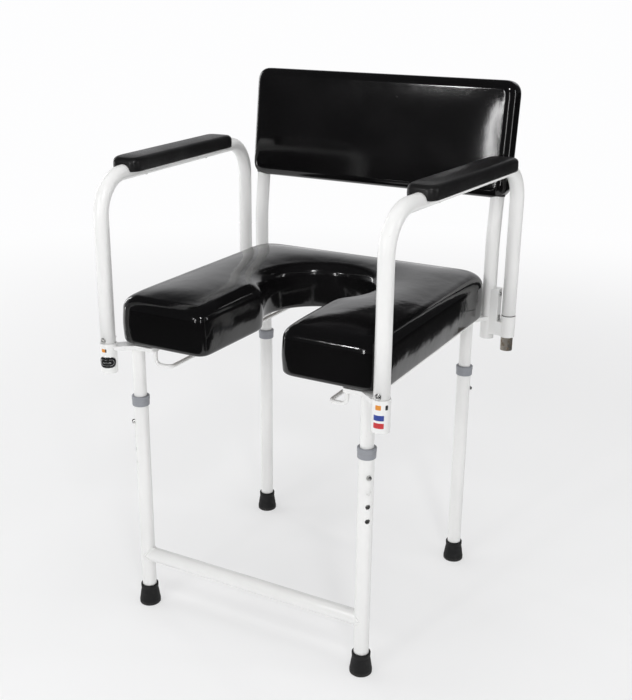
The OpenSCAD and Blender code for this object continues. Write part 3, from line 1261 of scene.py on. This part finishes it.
@dataclass
class BackPad:
    """The moulded backrest on its two posts. Lengths in mm."""

    half_width: float = 264.0
    height: float = 206.0
    corner: float = 21.0
    thickness: float = 50.0
    step: float = 4.0
    section: Section = Section(
        height=50.0, foot_round=11.0, edge_reach=19.0, edge_drop=17.0,
        bulge=0.4, crown=3.4, crown_reach=30.0, foot_inset=20.0,
    )

    def outline(self) -> Points:
        """The front's outline about its middle, anticlockwise seen from the front."""
        return rounded_box(self.half_width, self.height / 2, self.corner, self.step, 2)

    def build(self, finishes: Finishes) -> Any:
        """Makes the backrest pad and puts it on the frame."""
        points, faces = slab(self.outline(), self.section, self.step * 1.2)
        up, out = leaning()
        centre = np.array(middle("back_cushion"))
        rise = points[:, 2] - self.thickness / 2
        placed = (
            centre
            + MM * points[:, :1] * np.array([1.0, 0.0, 0.0])
            + MM * points[:, 1:2] * np.array(up)
            - MM * rise[:, None] * np.array(out)
        )
        piece = new_object("back_skin", placed, faces, finishes.back)
        ride_as(piece, "frame", Slot.BLACK_SKIN, "back_cushion")
        self.build_seals(finishes, up)
        return piece

    def build_seals(self, finishes: Finishes, up: Vector) -> Any:
        """Makes the two rings that close the pad round its posts."""
        low, high = (Vector(corner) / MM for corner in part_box("post_collars"))
        ring = [(12.75, 8.0), (12.75, -0.4), (13.6, -0.4), (13.9, 0.2), (13.9, 8.0)]
        points, faces = lathe(ring + ring[:1], 48)
        turn = up.to_track_quat("Z", "Y")
        places, cells = [], []
        for sx in BOTH:
            foot = Vector((sx * (high.x - 14.2), (low.y + high.y) / 2, high.z))
            cells += [tuple(i + len(places) for i in face) for face in faces]
            places += [(turn @ Vector(p) + foot) * MM for p in points]
        piece = new_object("post_seals", places, cells, finishes[Slot.BLACK_PLASTIC])
        return ride_as(piece, "frame", Slot.BLACK_PLASTIC, "post_collars")


@dataclass
class Arm:
    """One swing-away arm: its bent tube and its moulded pad. Lengths in mm."""

    side: Side
    front: tuple[float, float] = (SOCKET_X, -SOCKET_Y)
    rear: tuple[float, float] = (284.5, 223.25)
    foot: float = 476.0
    rear_foot: float = 512.6
    height: float = 788.0
    bend: float = 64.0
    pad_length: float = 334.0
    pad_width: float = 51.0
    pad_corner: float = 14.0
    end_reach: float = 34.0
    end_drop: float = 0.09
    pad_from: float = 81.0
    pad_slip: float = 14.0
    pad_foot: float = 788.6
    section: Section = Section(
        height=26.0, foot_round=2.0, edge_reach=8.0, edge_drop=8.5,
        bulge=0.3, crown=2.0, crown_reach=9.0, foot_inset=5.0,
    )

    def ends(self) -> tuple[Vector, Vector]:
        """The middles of the front and rear tubes at the floor, in mm."""
        sx = self.side.value
        return (
            Vector((sx * self.front[0], -self.front[1], 0.0)),
            Vector((sx * self.rear[0], self.rear[1], 0.0)),
        )

    def build_tube(self, finishes: Finishes, growth: Growth) -> Any:
        """Grows the bent tube along its line, with a real wall."""
        front, rear = self.ends()
        rise = Vector((0.0, 0.0, 1.0))
        line = [
            front + rise * self.foot,
            front + rise * self.height,
            rear + rise * self.height,
            rear + rise * self.rear_foot,
        ]
        piece = grow(
            f"bent_arm_tube_{self.side.word}",
            growth.tube,
            {
                "Tube Radius": TUBE_RADIUS * MM,
                "Bend Radius": self.bend * MM,
                "Finish": finishes[Slot.WHITE_FRAME],
            },
            [p * MM for p in line],
            [(0, 1), (1, 2), (2, 3)],
        )
        wall = piece.modifiers.new("wall", "SOLIDIFY")
        wall.thickness = 1.5 * MM
        wall.offset = -1.0
        return ride_as(
            piece, f"arm_{self.side.word}", Slot.WHITE_FRAME, f"arm_tube_{self.side.word}"
        )

    def build_pad(self, finishes: Finishes) -> Any:
        """Makes the pad with a round channel for the tube under it."""
        half_l, height = self.pad_length / 2, self.section.height
        outline = rounded_box(half_l, self.pad_width / 2, self.pad_corner, 2.6, 2)
        points, faces = slab(outline, self.section, 3.2)
        reach = self.end_reach
        near_end = np.clip((np.abs(points[:, 0]) - half_l + reach) / reach, 0.0, 1.0)
        points[:, 2] *= 1.0 - self.end_drop * near_end**2.2 * (points[:, 2] / height)
        front, rear = self.ends()
        along = (rear - front).normalized()
        across = Vector((-along.y, along.x, 0.0))
        reach = self.pad_from + self.side.value * self.pad_slip + half_l
        centre = front + along * reach + Vector((0.0, 0.0, self.pad_foot))
        placed = (
            np.array(centre)
            + points[:, :1] * np.array(along)
            + points[:, 1:2] * np.array(across)
            + points[:, 2:] * np.array([0.0, 0.0, 1.0])
        )
        piece = new_object(f"arm_skin_{self.side.word}", placed * MM, faces, finishes.satin)
        self._cut_channel(piece, centre, along, half_l)
        ride_as(piece, f"arm_{self.side.word}", Slot.BLACK_SKIN, f"arm_pad_{self.side.word}")
        return piece

    def _cut_channel(self, piece: Any, centre: Vector, along: Vector, half_l: float) -> None:
        """Cuts the tube's channel, flared a little where the tube comes out."""
        turn = along.to_track_quat("Z", "Y")
        axis = Vector((centre.x, centre.y, self.height))
        reach = half_l + 6.0
        profile = [
            (0.0, -reach),
            (TUBE_RADIUS + 0.9, -reach),
            (TUBE_RADIUS + 0.3, -reach + 9.0),
            (TUBE_RADIUS + 0.3, reach - 9.0),
            (TUBE_RADIUS + 0.9, reach),
            (0.0, reach),
        ]
        points, faces = lathe(profile, 48)
        placed = [(turn @ Vector(p) + axis) * MM for p in points]
        cutter = new_object("channel_cutter", placed, faces, piece.data.materials[0])
        cut = piece.modifiers.new("channel", "BOOLEAN")
        cut.operation, cut.solver, cut.object = "DIFFERENCE", "EXACT", cutter
        bake(piece)
        bpy.data.objects.remove(cutter)
        tidy_mesh(piece)

    def build(self, finishes: Finishes, growth: Growth) -> None:
        """Makes the whole arm."""
        self.build_tube(finishes, growth)
        self.build_pad(finishes)


@dataclass
class Hardware:
    """Bolt, screw and rivet heads, grown where they repeat. Lengths in mm."""

    finishes: Finishes
    growth: Growth
    post_x: float = 245.0
    post_y: float = 223.25
    post_root: tuple[float, float, float] = (0.0, 224.144, 654.624)
    back_screws: tuple[float, float] = (40.0, 110.0)
    bracket_bolts: tuple[float, float] = (505.0, 549.0)
    seat_screws: tuple[float, float] = (197.0, 205.0)

    @staticmethod
    def head(name: str, radius: float, rise: float, material: Any) -> Any:
        """A domed head on a thin washer, with a hexagon recess.

        Args:
            name: the hidden pattern object's name.
            radius: the washer's radius in mm.
            rise: the dome's height in mm.
            material: its material.

        Returns:
            An object to be instanced, which is removed afterwards.
        """
        hexagon = radius * 0.36
        profile = [
            (0.0, -0.6), (radius, -0.6), (radius, 0.35), (radius * 0.97, 0.55),
            (radius * 0.84, 0.6), (radius * 0.82, rise * 0.45), (radius * 0.72, rise * 0.8),
            (radius * 0.58, rise * 0.96), (radius * 0.46, rise),
            (hexagon * 1.02, rise * 0.97), (hexagon, rise * 0.4), (0.0, rise * 0.3),
        ]
        points, faces = lathe(profile, 36)
        size = np.hypot(points[:, 0], points[:, 1])
        six_sided(points, (size > 0.01) & (size < hexagon * 1.05), 0.9)
        return new_object(name, points * MM, faces, material)

    def spread(
        self,
        name: str,
        body: str,
        spots: Sequence[tuple[Vector, Vector]],
        size: tuple[float, float],
        replaced: str,
        look: Slot = Slot.BRIGHT_STEEL,
    ) -> Any:
        """Grows one head on each spot.

        Args:
            name: the piece's name.
            body: the CAD body it rides on.
            spots: the place in mm and the outward direction of each head.
            size: the head's radius and rise in mm.
            replaced: the CAD node that it stands for.
            look: the slot whose material it wears.

        Returns:
            The piece.
        """
        material = self.finishes[look]
        pattern = self.head("head_pattern", *size, material)
        piece = grow(
            name,
            self.growth.fastener,
            {"Head": pattern, "Finish": material},
            [place * MM for place, _ in spots],
            (),
            {"axis": [tuple(way) for _, way in spots]},
        )
        bpy.data.objects.remove(pattern)
        return ride_as(piece, body, Slot.BRIGHT_STEEL, replaced)

    def build(self, arms: Sequence[Arm]) -> None:
        """Makes every set of heads."""
        up, out = leaning()
        down = Vector((0, 0, -1))
        back = Vector(self.post_root) + up * 72 + out * 2 * TUBE_RADIUS
        back_spots = [
            (back + Vector((sx * self.post_x, 0, 0)) + up * z, out)
            for sx in BOTH
            for z in self.back_screws
        ]
        self.spread(
            "back_screw_heads", "frame", back_spots, (6.6, 3.2), "back_screws",
            Slot.BLACK_PLASTIC,
        )
        bracket_x = self.post_x + 21.0
        bolt_spots = [
            (Vector((sx * bracket_x, self.post_y, z)), Vector((sx, 0, 0)))
            for sx in BOTH
            for z in self.bracket_bolts
        ]
        self.spread("bracket_bolt_heads", "frame", bolt_spots, (5.0, 2.6), "bracket_bolts")
        seat_x, seat_y = self.seat_screws
        foot = plate_foot() - SUNK
        seat_spots = [
            (Vector((sx * seat_x, sy * seat_y + SEAT_MIDDLE_Y, foot)), down)
            for sx in BOTH
            for sy in BOTH
        ]
        self.spread("seat_screw_heads", "frame", seat_spots, (6.0, 3.0), "seat_screws")
        for arm in arms:
            word = arm.side.word
            front, rear = arm.ends()
            along = (rear - front).normalized()
            start = front + along * (arm.pad_from + arm.side.value * arm.pad_slip)
            start += Vector((0, 0, arm.height - TUBE_RADIUS + 1.8))
            spots = [(start + along * (k * arm.pad_length), down) for k in (0.2, 0.8)]
            self.spread(
                f"pad_screw_heads_{word}", f"arm_{word}", spots, (4.8, 2.6),
                f"pad_screws_{word}",
            )


@dataclass
class CrossBolt:
    """The bolt through an arm's front tube that stops it in its socket."""

    side: Side
    height: float = 517.0

    def build(self, finishes: Finishes) -> Any:
        """Makes the head in front, a hexagon nut and the bolt's end behind."""
        steel = finishes[Slot.BRIGHT_STEEL]
        face = 2 * TUBE_RADIUS
        front = [
            (0.0, -1.0), (2.4, -1.0), (2.4, face), (4.9, face), (4.9, face + 0.7),
            (4.2, face + 0.9), (4.1, face + 1.9), (3.4, face + 2.7), (2.2, face + 3.1),
            (1.3, face + 2.7), (1.2, face + 1.6), (0.0, face + 1.4),
        ]
        points, faces = lathe(front, 36)
        nut = [
            (0.0, -6.0), (1.9, -6.0), (2.4, -5.4), (2.4, -4.0), (3.7, -4.0), (4.3, -3.6),
            (4.3, -0.4), (3.9, 0.2), (2.0, 0.2), (0.0, 0.2),
        ]
        nut_points, nut_faces = lathe(nut, 36)
        six_sided(nut_points, np.hypot(nut_points[:, 0], nut_points[:, 1]) > 3.0, 0.92)
        shift = len(points)
        points = np.vstack([points, nut_points])
        faces = faces + [tuple(i + shift for i in face) for face in nut_faces]
        bolt = middle(f"cross_bolt_{self.side.word}")
        placed = [
            (bolt.x + x * MM, (SOCKET_Y + TUBE_RADIUS - z) * MM, (self.height + y) * MM)
            for x, y, z in points
        ]
        piece = new_object(f"stop_bolt_{self.side.word}", placed, faces, steel)
        word = self.side.word
        return ride_as(piece, f"arm_{word}", Slot.BRIGHT_STEEL, f"cross_bolt_{word}")


@dataclass
class Leg:
    """One telescopic leg: rubber tip, collar and snap button. Lengths in mm."""

    code: str
    body: str
    button_body: str
    outward: tuple[int, int]
    button_height: float = 363.5

    def build_tip(self, finishes: Finishes) -> Any:
        """Turns the rubber tip: flared foot, tread rings and a beaded lip."""
        corners = [
            (0.0, 0.9, 0), (7.0, 0.9, 0), (7.0, 0.0, 0), (9.0, 0.0, 0), (9.0, 0.9, 0),
            (12.0, 0.9, 0), (12.0, 0.0, 0), (17.4, 0.0, 0.8), (19.0, 1.6, 1.0),
            (19.1, 7.5, 1.6), (18.2, 12.0, 2.5), (16.8, 22.0, 3.0), (15.1, 31.5, 0.8),
            (15.7, 33.2, 0.8), (15.8, 38.6, 0.8), (15.0, 40.0, 0.6),
            (13.1, 40.0, 0.4), (12.8, 38.5, 0), (12.8, 30.0, 0), (0.0, 30.0, 0),
        ]
        points, faces = lathe(rounded(corners, 4), 72)
        base = middle(f"tip_{self.code}")
        points = points * MM + np.array([base.x, base.y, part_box(f"tip_{self.code}")[0][2]])
        piece = new_object(f"foot_{self.code}", points, faces, finishes[Slot.TIP_RUBBER])
        return ride_as(piece, self.body, Slot.TIP_RUBBER, f"tip_{self.code}")

    def build_collar(self, finishes: Finishes) -> Any:
        """Turns the plastic collar: upper band, groove and lower skirt."""
        low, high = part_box(f"collar_{self.code}")
        tall = (high[2] - low[2]) / MM
        corners = [
            (12.75, 0.0, 0), (14.7, 0.0, 0.5), (14.95, 1.0, 0.4), (15.05, tall * 0.5, 0.2),
            (14.85, tall * 0.52, 0.15), (14.85, tall * 0.56, 0.15), (15.5, tall * 0.6, 0.4),
            (15.5, tall - 1.2, 1.0), (13.9, tall, 0.8), (11.6, tall, 0.4), (11.45, tall - 1.4, 0),
            (12.75, tall - 2.5, 0), (12.75, 0.0, 0),
        ]
        points, faces = lathe(rounded(corners, 4), 64)
        base = middle(f"collar_{self.code}")
        points = points * MM + np.array([base.x, base.y, low[2]])
        piece = new_object(f"ring_{self.code}", points, faces, finishes[Slot.GREY_PLASTIC])
        return ride_as(piece, self.body, Slot.GREY_PLASTIC, f"collar_{self.code}")

    def build_button(self, finishes: Finishes) -> Any:
        """Turns the domed snap button, lying outward from the tube."""
        reach = 16.95
        corners = [
            (0.0, 5.9, 0), (4.0, 5.9, 0), (4.0, reach - 1.2, 1.1), (3.1, reach + 0.1, 0.9),
            (1.4, reach + 0.25, 0.5), (0.0, reach + 0.3, 0),
        ]
        points, faces = lathe(rounded(corners, 5), 40)
        leg = middle(f"upper_leg_{self.code}")
        way = Vector((self.outward[0], self.outward[1], 0)).normalized()
        turn = way.to_track_quat("Z", "Y")
        base = Vector((leg.x, leg.y, self.button_height * MM))
        placed = [base + turn @ (Vector(p) * MM) for p in points]
        piece = new_object(f"snap_{self.code}", placed, faces, finishes[Slot.BRIGHT_STEEL])
        return ride_as(piece, self.button_body, Slot.BRIGHT_STEEL, f"button_{self.code}")

    def build(self, finishes: Finishes) -> None:
        """Makes the leg's pieces."""
        self.build_tip(finishes)
        self.build_collar(finishes)
        self.build_button(finishes)


@dataclass
class Welds:
    """Weld beads where tubes, plates and wires join. Lengths in mm."""

    finishes: Finishes
    growth: Growth
    leg_x: float = 217.0
    leg_front: float = -231.75
    leg_rear: float = 190.25
    bar_height: float = 101.8
    socket_radius: float = 14.6
    socket_half_turn: float = 48.0
    socket_lean: float = 30.0
    wire_spot: tuple[float, float] = (181.0, 211.0)

    @staticmethod
    def ring(
        centre: tuple[float, float, float], radius: float, start: float = 0, end: float = 360
    ) -> list[Vector]:
        """Points round an upright axis, from one angle to another."""
        turns = np.radians(np.linspace(start, end, max(8, int(abs(end - start) / 6))))
        x, y, z = centre
        return [Vector((x + radius * math.cos(t), y + radius * math.sin(t), z)) for t in turns]

    def bar_joint(self, sx: int) -> list[Vector]:
        """The line where the crossbar meets a front leg of the same radius."""
        line = []
        for turn in np.radians(np.linspace(0, 360, 72)):
            across, up = math.sin(turn), math.cos(turn)
            inset = TUBE_RADIUS * abs(up)
            line.append(
                Vector(
                    (
                        sx * (self.leg_x - inset),
                        self.leg_front + TUBE_RADIUS * across,
                        self.bar_height + TUBE_RADIUS * up,
                    )
                )
            )
        return line

    def lay(
        self,
        name: str,
        body: str,
        lines: Sequence[Sequence[Vector]],
        radius: float,
    ) -> Any:
        """Grows one piece of beads along lines.

        Args:
            name: the piece's name.
            body: the CAD body.
            lines: the beads' lines in mm.
            radius: the bead's radius in mm.

        Returns:
            The piece.
        """
        points: list[Vector] = []
        edges: list[tuple[int, int]] = []
        for line in lines:
            first = len(points)
            points += [p * MM for p in line]
            edges += [(first + k, first + k + 1) for k in range(len(line) - 1)]
        piece = grow(
            name,
            self.growth.weld,
            {"Bead Radius": radius * MM, "Finish": self.finishes[Slot.WHITE_FRAME]},
            points,
            edges,
        )
        return ride_as(piece, body, Slot.WHITE_FRAME)

    def build(self) -> None:
        """Lays every bead."""
        self.lay("crossbar_welds", "front_legs", [self.bar_joint(sx) for sx in BOTH], 2.1)
        foot = plate_foot() - SUNK
        legs = [(sx * self.leg_x, y, foot) for sx in BOTH for y in (self.leg_front, self.leg_rear)]
        self.lay("leg_welds", "frame", [self.ring(place, 11.4) for place in legs], 1.5)
        sockets = []
        for sx, mid in ((-1, self.socket_lean), (1, 180 - self.socket_lean)):
            start, end = mid - self.socket_half_turn, mid + self.socket_half_turn
            for z in (foot, foot + 7.8):
                place = (sx * SOCKET_X, SOCKET_Y, z)
                sockets.append(self.ring(place, self.socket_radius, start, end))
        self.lay("socket_welds", "frame", sockets, 1.4)
        wire_x, wire_y = self.wire_spot
        wires = [
            self.ring((sx * wire_x, sy * wire_y + SEAT_MIDDLE_Y, foot), 3.9)
            for sx in BOTH
            for sy in BOTH
        ]
        self.lay("wire_welds", "frame", wires, 0.9)


@dataclass
class Labels:
    """Plain labels wrapped round the front arm sockets. Lengths in mm."""

    socket_radius: float = 14.3

    def patch(
        self,
        name: str,
        side: Side,
        face_degrees: float,
        height: float,
        size: tuple[float, float],
        corner: float,
        rise: float,
        material: Any,
        lift: float = 0.0,
    ) -> Any:
        """Wraps one rounded patch round a socket.

        Args:
            name: the piece's name.
            side: which socket.
            face_degrees: where its middle is, 0 at the front and 90 to the right.
            height: its middle's height.
            size: its width round the socket and its height.
            corner: its corner radius.
            rise: its thickness.
            material: its material.
            lift: how far its back stands off the socket.

        Returns:
            The piece.
        """
        w, h = size[0] / 2, size[1] / 2
        outline = rounded_box(w, h, min(corner, w - 0.05, h - 0.05), 0.5, 0)
        section = Section(
            height=rise, foot_round=0.02, edge_reach=min(0.5, rise), edge_drop=rise * 0.6,
            crown=rise * 0.2, crown_reach=2.0, foot_inset=0.3,
        )
        points, faces = slab(outline, section, 0.8)
        turn = math.radians(face_degrees) + points[:, 0] / self.socket_radius
        reach = self.socket_radius + lift - 0.05 + points[:, 2]
        placed = np.column_stack(
            [
                side.value * SOCKET_X + reach * np.sin(turn),
                SOCKET_Y - reach * np.cos(turn),
                height + points[:, 1],
            ]
        )
        piece = new_object(name, placed * MM, faces, material)
        return ride_as(piece, "frame", Slot.BLACK_PLASTIC)

    def build(self, finishes: Finishes) -> None:
        """Makes the badge and the stickers."""
        film = finishes.film
        black, silver = finishes.badge_black, finishes.badge_silver
        left, right = Side.LEFT, Side.RIGHT
        orange, ink, white = film["orange"], film["black"], film["white"]
        red, blue = film["red"], film["blue"]
        for name, side, face, height, size, corner, rise, material, lift in (
            ("badge_rim", left, 24, 479.0, (34.0, 19.6), 9.7, 0.5, silver, 0.0),
            ("badge_plate", left, 24, 479.0, (32.4, 18.0), 8.9, 0.9, black, 0.0),
            ("badge_ring", left, 24, 479.0, (24.0, 11.0), 5.4, 0.3, silver, 0.75),
            ("badge_face", left, 24, 479.0, (22.6, 9.6), 4.7, 0.5, black, 0.75),
            ("badge_bar", left, 24, 479.0, (13.0, 2.4), 1.1, 0.4, silver, 1.05),
            ("sticker_left_orange", left, 0, 500.0, (7.0, 6.0), 0.5, 0.15, orange, 0.0),
            ("sticker_left_black", left, 19, 500.0, (2.4, 6.0), 0.4, 0.15, ink, 0.0),
            ("sticker_right_orange", right, 4, 500.5, (9.0, 7.6), 0.5, 0.15, orange, 0.0),
            ("sticker_right_black", right, 58, 500.5, (4.6, 7.6), 0.4, 0.15, ink, 0.0),
            ("sticker_right_white", right, 8, 478.0, (21.0, 25.0), 0.8, 0.12, white, 0.0),
            ("sticker_right_red", right, 8, 471.8, (17.0, 8.6), 0.5, 0.12, red, 0.1),
            ("sticker_right_blue", right, 8, 484.2, (17.0, 8.6), 0.5, 0.12, blue, 0.1),
        ):
            self.patch(name, side, face, height, size, corner, rise, material, lift)


# ---------------------------------------------------------------- studio


@dataclass(frozen=True)
class Softbox:
    """One rectangular soft light that looks at a point."""

    name: str
    place: tuple[float, float, float]
    target: tuple[float, float, float]
    size: tuple[float, float]
    watts: float
    mirrored: bool = True

    def build(self) -> None:
        """Adds the light, which the camera itself doesn't see."""
        data = bpy.data.lights.new(self.name, "AREA")
        data.shape = "RECTANGLE"
        data.size, data.size_y = self.size
        data.energy = self.watts
        light = bpy.data.objects.new(self.name, data)
        light.location = self.place
        way = Vector(self.target) - Vector(self.place)
        light.rotation_mode = "QUATERNION"
        light.rotation_quaternion = way.to_track_quat("-Z", "Y")
        light.visible_camera = False
        light.visible_glossy = self.mirrored
        bpy.context.collection.objects.link(light)


@dataclass
class Studio:
    """Pale floor, soft lights, a pale surround and the camera."""

    camera_place: tuple[float, float, float] = (0.8426, -1.5711, 1.0854)
    camera_target: tuple[float, float, float] = (0.0130, -0.0208, 0.4698)
    lens_mm: float = 53.8
    roll_degrees: float = 0.61
    floor_half: float = 40.0
    lit_from: float = 0.4
    lit_to: float = 3.2
    flag_front: float = -0.85
    flag_right: float = 0.82
    backdrop: Colour = (0.985, 0.985, 0.99)
    world_dark: Colour = (0.035, 0.035, 0.037)
    world_band: Colour = (0.66, 0.66, 0.67)

    def build_camera(self) -> None:
        """Adds the camera."""
        data = bpy.data.cameras.new("studio_camera")
        data.lens = self.lens_mm
        data.sensor_width = 36.0
        data.clip_end = 200.0
        camera = bpy.data.objects.new("studio_camera", data)
        camera.location = self.camera_place
        way = Vector(self.camera_target) - Vector(self.camera_place)
        camera.rotation_mode = "QUATERNION"
        camera.rotation_quaternion = way.to_track_quat("-Z", "Y") @ Quaternion(
            (0, 0, 1), math.radians(self.roll_degrees)
        )
        bpy.context.collection.objects.link(camera)
        bpy.context.scene.camera = camera

    def build_floor(self) -> None:
        """Adds the plain pale floor, lit further out like a curved backdrop."""
        kit = ShaderKit("floor_paint")
        cloud = kit.noise(1.3, 3.0)
        paint = kit.blend(cloud * 0.2, rgba((0.9, 0.9, 0.9)), rgba((0.87, 0.87, 0.87)))
        kit.finish(
            {
                "Base Color": paint,
                "Roughness": 0.6 + cloud * 0.1,
                "Specular IOR Level": 0.1,
            }
        )
        far = kit.add(
            "ShaderNodeVectorMath", {"operation": "LENGTH"}, {0: kit.place}, out="Value"
        ).spread(self.lit_from, self.lit_to) * 0.5 + 0.5
        glow = kit.add(
            "ShaderNodeEmission", None, {"Color": rgba(self.backdrop), "Strength": 1.0}
        )
        mixed = kit.add(
            "ShaderNodeMixShader", None, {0: far, 1: Sock(kit, kit.shader.outputs[0]), 2: glow}
        )
        kit.put(kit.tree.nodes["Material Output"].inputs["Surface"], mixed)
        h = self.floor_half
        self.sheet("floor", [(-h, -h, 0), (h, -h, 0), (h, h, 0), (-h, h, 0)], kit.material)

    def build_flag(self) -> None:
        """Adds dark sheets just above the floor, in front and at the right, seen only in gloss:
        painted shade that darkens the floor's reflection in the chair's gloss.
        """
        kit = ShaderKit("flag_cloth")
        reflection_shade_mottle = kit.noise(90.0, 2.0)
        # painted shade: these sheets show only in gloss, so this mottled dark tone is a painted
        # reflection of a dark studio in front of and right of the chair
        painted_reflection_shade = kit.blend(reflection_shade_mottle, rgba((0.012, 0.012, 0.012)), rgba((0.03, 0.03, 0.03)))
        reflection_shade_material = kit.finish(
            {
                "Base Color": painted_reflection_shade,
                "Roughness": 0.9,
                "Specular IOR Level": 0.0,
            }
        )
        front, right, h = self.flag_front, self.flag_right, self.floor_half
        for name, corners in (
            ("flag_front", [(-h, -h), (h, -h), (h, front), (-h, front)]),
            ("flag_right", [(right, -1.0), (h, -1.0), (h, h), (right, h)]),
        ):
            flag = self.sheet(name, [(x, y, 0.01) for x, y in corners], reflection_shade_material)
            flag.visible_camera = flag.visible_diffuse = flag.visible_shadow = False

    @staticmethod
    def sheet(name: str, corners: Sequence[tuple[float, float, float]], material: Any) -> Any:
        """Adds one flat stage sheet."""
        mesh = bpy.data.meshes.new(name)
        mesh.from_pydata(corners, [], [(0, 1, 2, 3)])
        mesh.materials.append(material)
        flat = bpy.data.objects.new(name, mesh)
        bpy.context.collection.objects.link(flat)
        return flat

    def build_world(self) -> None:
        """Adds the surround: plain and pale to the camera; to all other rays dark, with a
        pale band low down behind the chair and to its left."""
        world = bpy.data.worlds.new("studio_surround")
        world.use_nodes = True
        kit = NodeKit(world.node_tree)
        back = world.node_tree.nodes["Background"]
        way = kit.add("ShaderNodeTexCoord", out="Generated")
        parts = kit.tree.nodes.new("ShaderNodeSeparateXYZ")
        kit.put(parts.inputs[0], way)
        x, y, z = (Sock(kit, parts.outputs[axis]) for axis in "XYZ")
        low = 1.0 - z.spread(0.26, 0.62)
        behind = y.spread(-0.45, 0.35) * low * (1.0 - x.spread(-0.05, 0.16))
        tone = kit.blend(behind, rgba(self.world_dark), rgba(self.world_band))
        seen = kit.add("ShaderNodeLightPath", out="Is Camera Ray")
        kit.put(back.inputs["Color"], kit.blend(seen, tone, rgba(self.backdrop)))
        bpy.context.scene.world = world

    def build(self) -> None:
        """Builds the whole studio."""
        self.build_camera()
        self.build_floor()
        self.build_flag()
        self.build_world()
        for light in (
            Softbox("overhead", (0.0, 0.2, 3.0), (0, 0, 0.4), (2.4, 2.4), 42.0, False),
            Softbox("fill_front", (0.2, -3.2, 1.6), (0, 0, 0.5), (2.4, 1.6), 26.0, False),
            Softbox("fill_left", (-2.8, -0.6, 1.5), (0, 0, 0.5), (1.8, 1.6), 16.0, False),
            Softbox("fill_right", (2.9, -0.4, 1.6), (0, 0, 0.5), (1.8, 1.6), 13.0, False),
            Softbox("key_high", (1.5, -1.9, 2.7), (0, 0, 0.5), (0.3, 0.3), 14.0),
            Softbox("key_left", (-1.0, -2.6, 1.95), (0, 0, 0.5), (0.16, 0.16), 5.0),
            Softbox("strip_front", (-0.42, -2.9, 1.2), (0.2, 0, 0.75), (0.13, 1.4), 12.0),
            Softbox("strip_right", (1.9, -2.6, 1.25), (0, 0, 0.6), (0.2, 1.5), 9.0),
            Softbox("strip_far_right", (2.8, 0.8, 1.2), (0, 0, 0.6), (0.25, 1.5), 8.0),
            Softbox("strip_left", (-2.6, 0.9, 1.2), (0, 0, 0.6), (0.25, 1.5), 8.0),
            Softbox("edge_left", (-2.7, -0.6, 0.35), (0, 0, 0.7), (0.3, 0.5), 4.0),
        ):
            light.build()
        view = bpy.context.scene.view_settings
        view.view_transform = "Standard"
        view.look = "None"
        view.exposure = 0.0


def main() -> None:
    """Builds the studio, the finishes and each sub-assembly in order."""
    Studio().build()
    finishes = Finishes()
    finishes.dress_frame()
    growth = Growth()
    SeatPad().build(finishes)
    BackPad().build(finishes)
    arms = [Arm(Side.LEFT), Arm(Side.RIGHT)]
    for arm in arms:
        arm.build(finishes, growth)
        CrossBolt(arm.side).build(finishes)
    for leg in (
        Leg("fl", "front_legs", "button_front_left", (-1, -1)),
        Leg("fr", "front_legs", "button_front_right", (1, -1)),
        Leg("rl", "rear_left_leg", "button_rear_left", (-1, 1)),
        Leg("rr", "rear_right_leg", "button_rear_right", (1, 1)),
    ):
        leg.build(finishes)
    Hardware(finishes, growth).build(arms)
    Welds(finishes, growth).build()
    Labels().build(finishes)


if __name__ == "__main__":
    main()
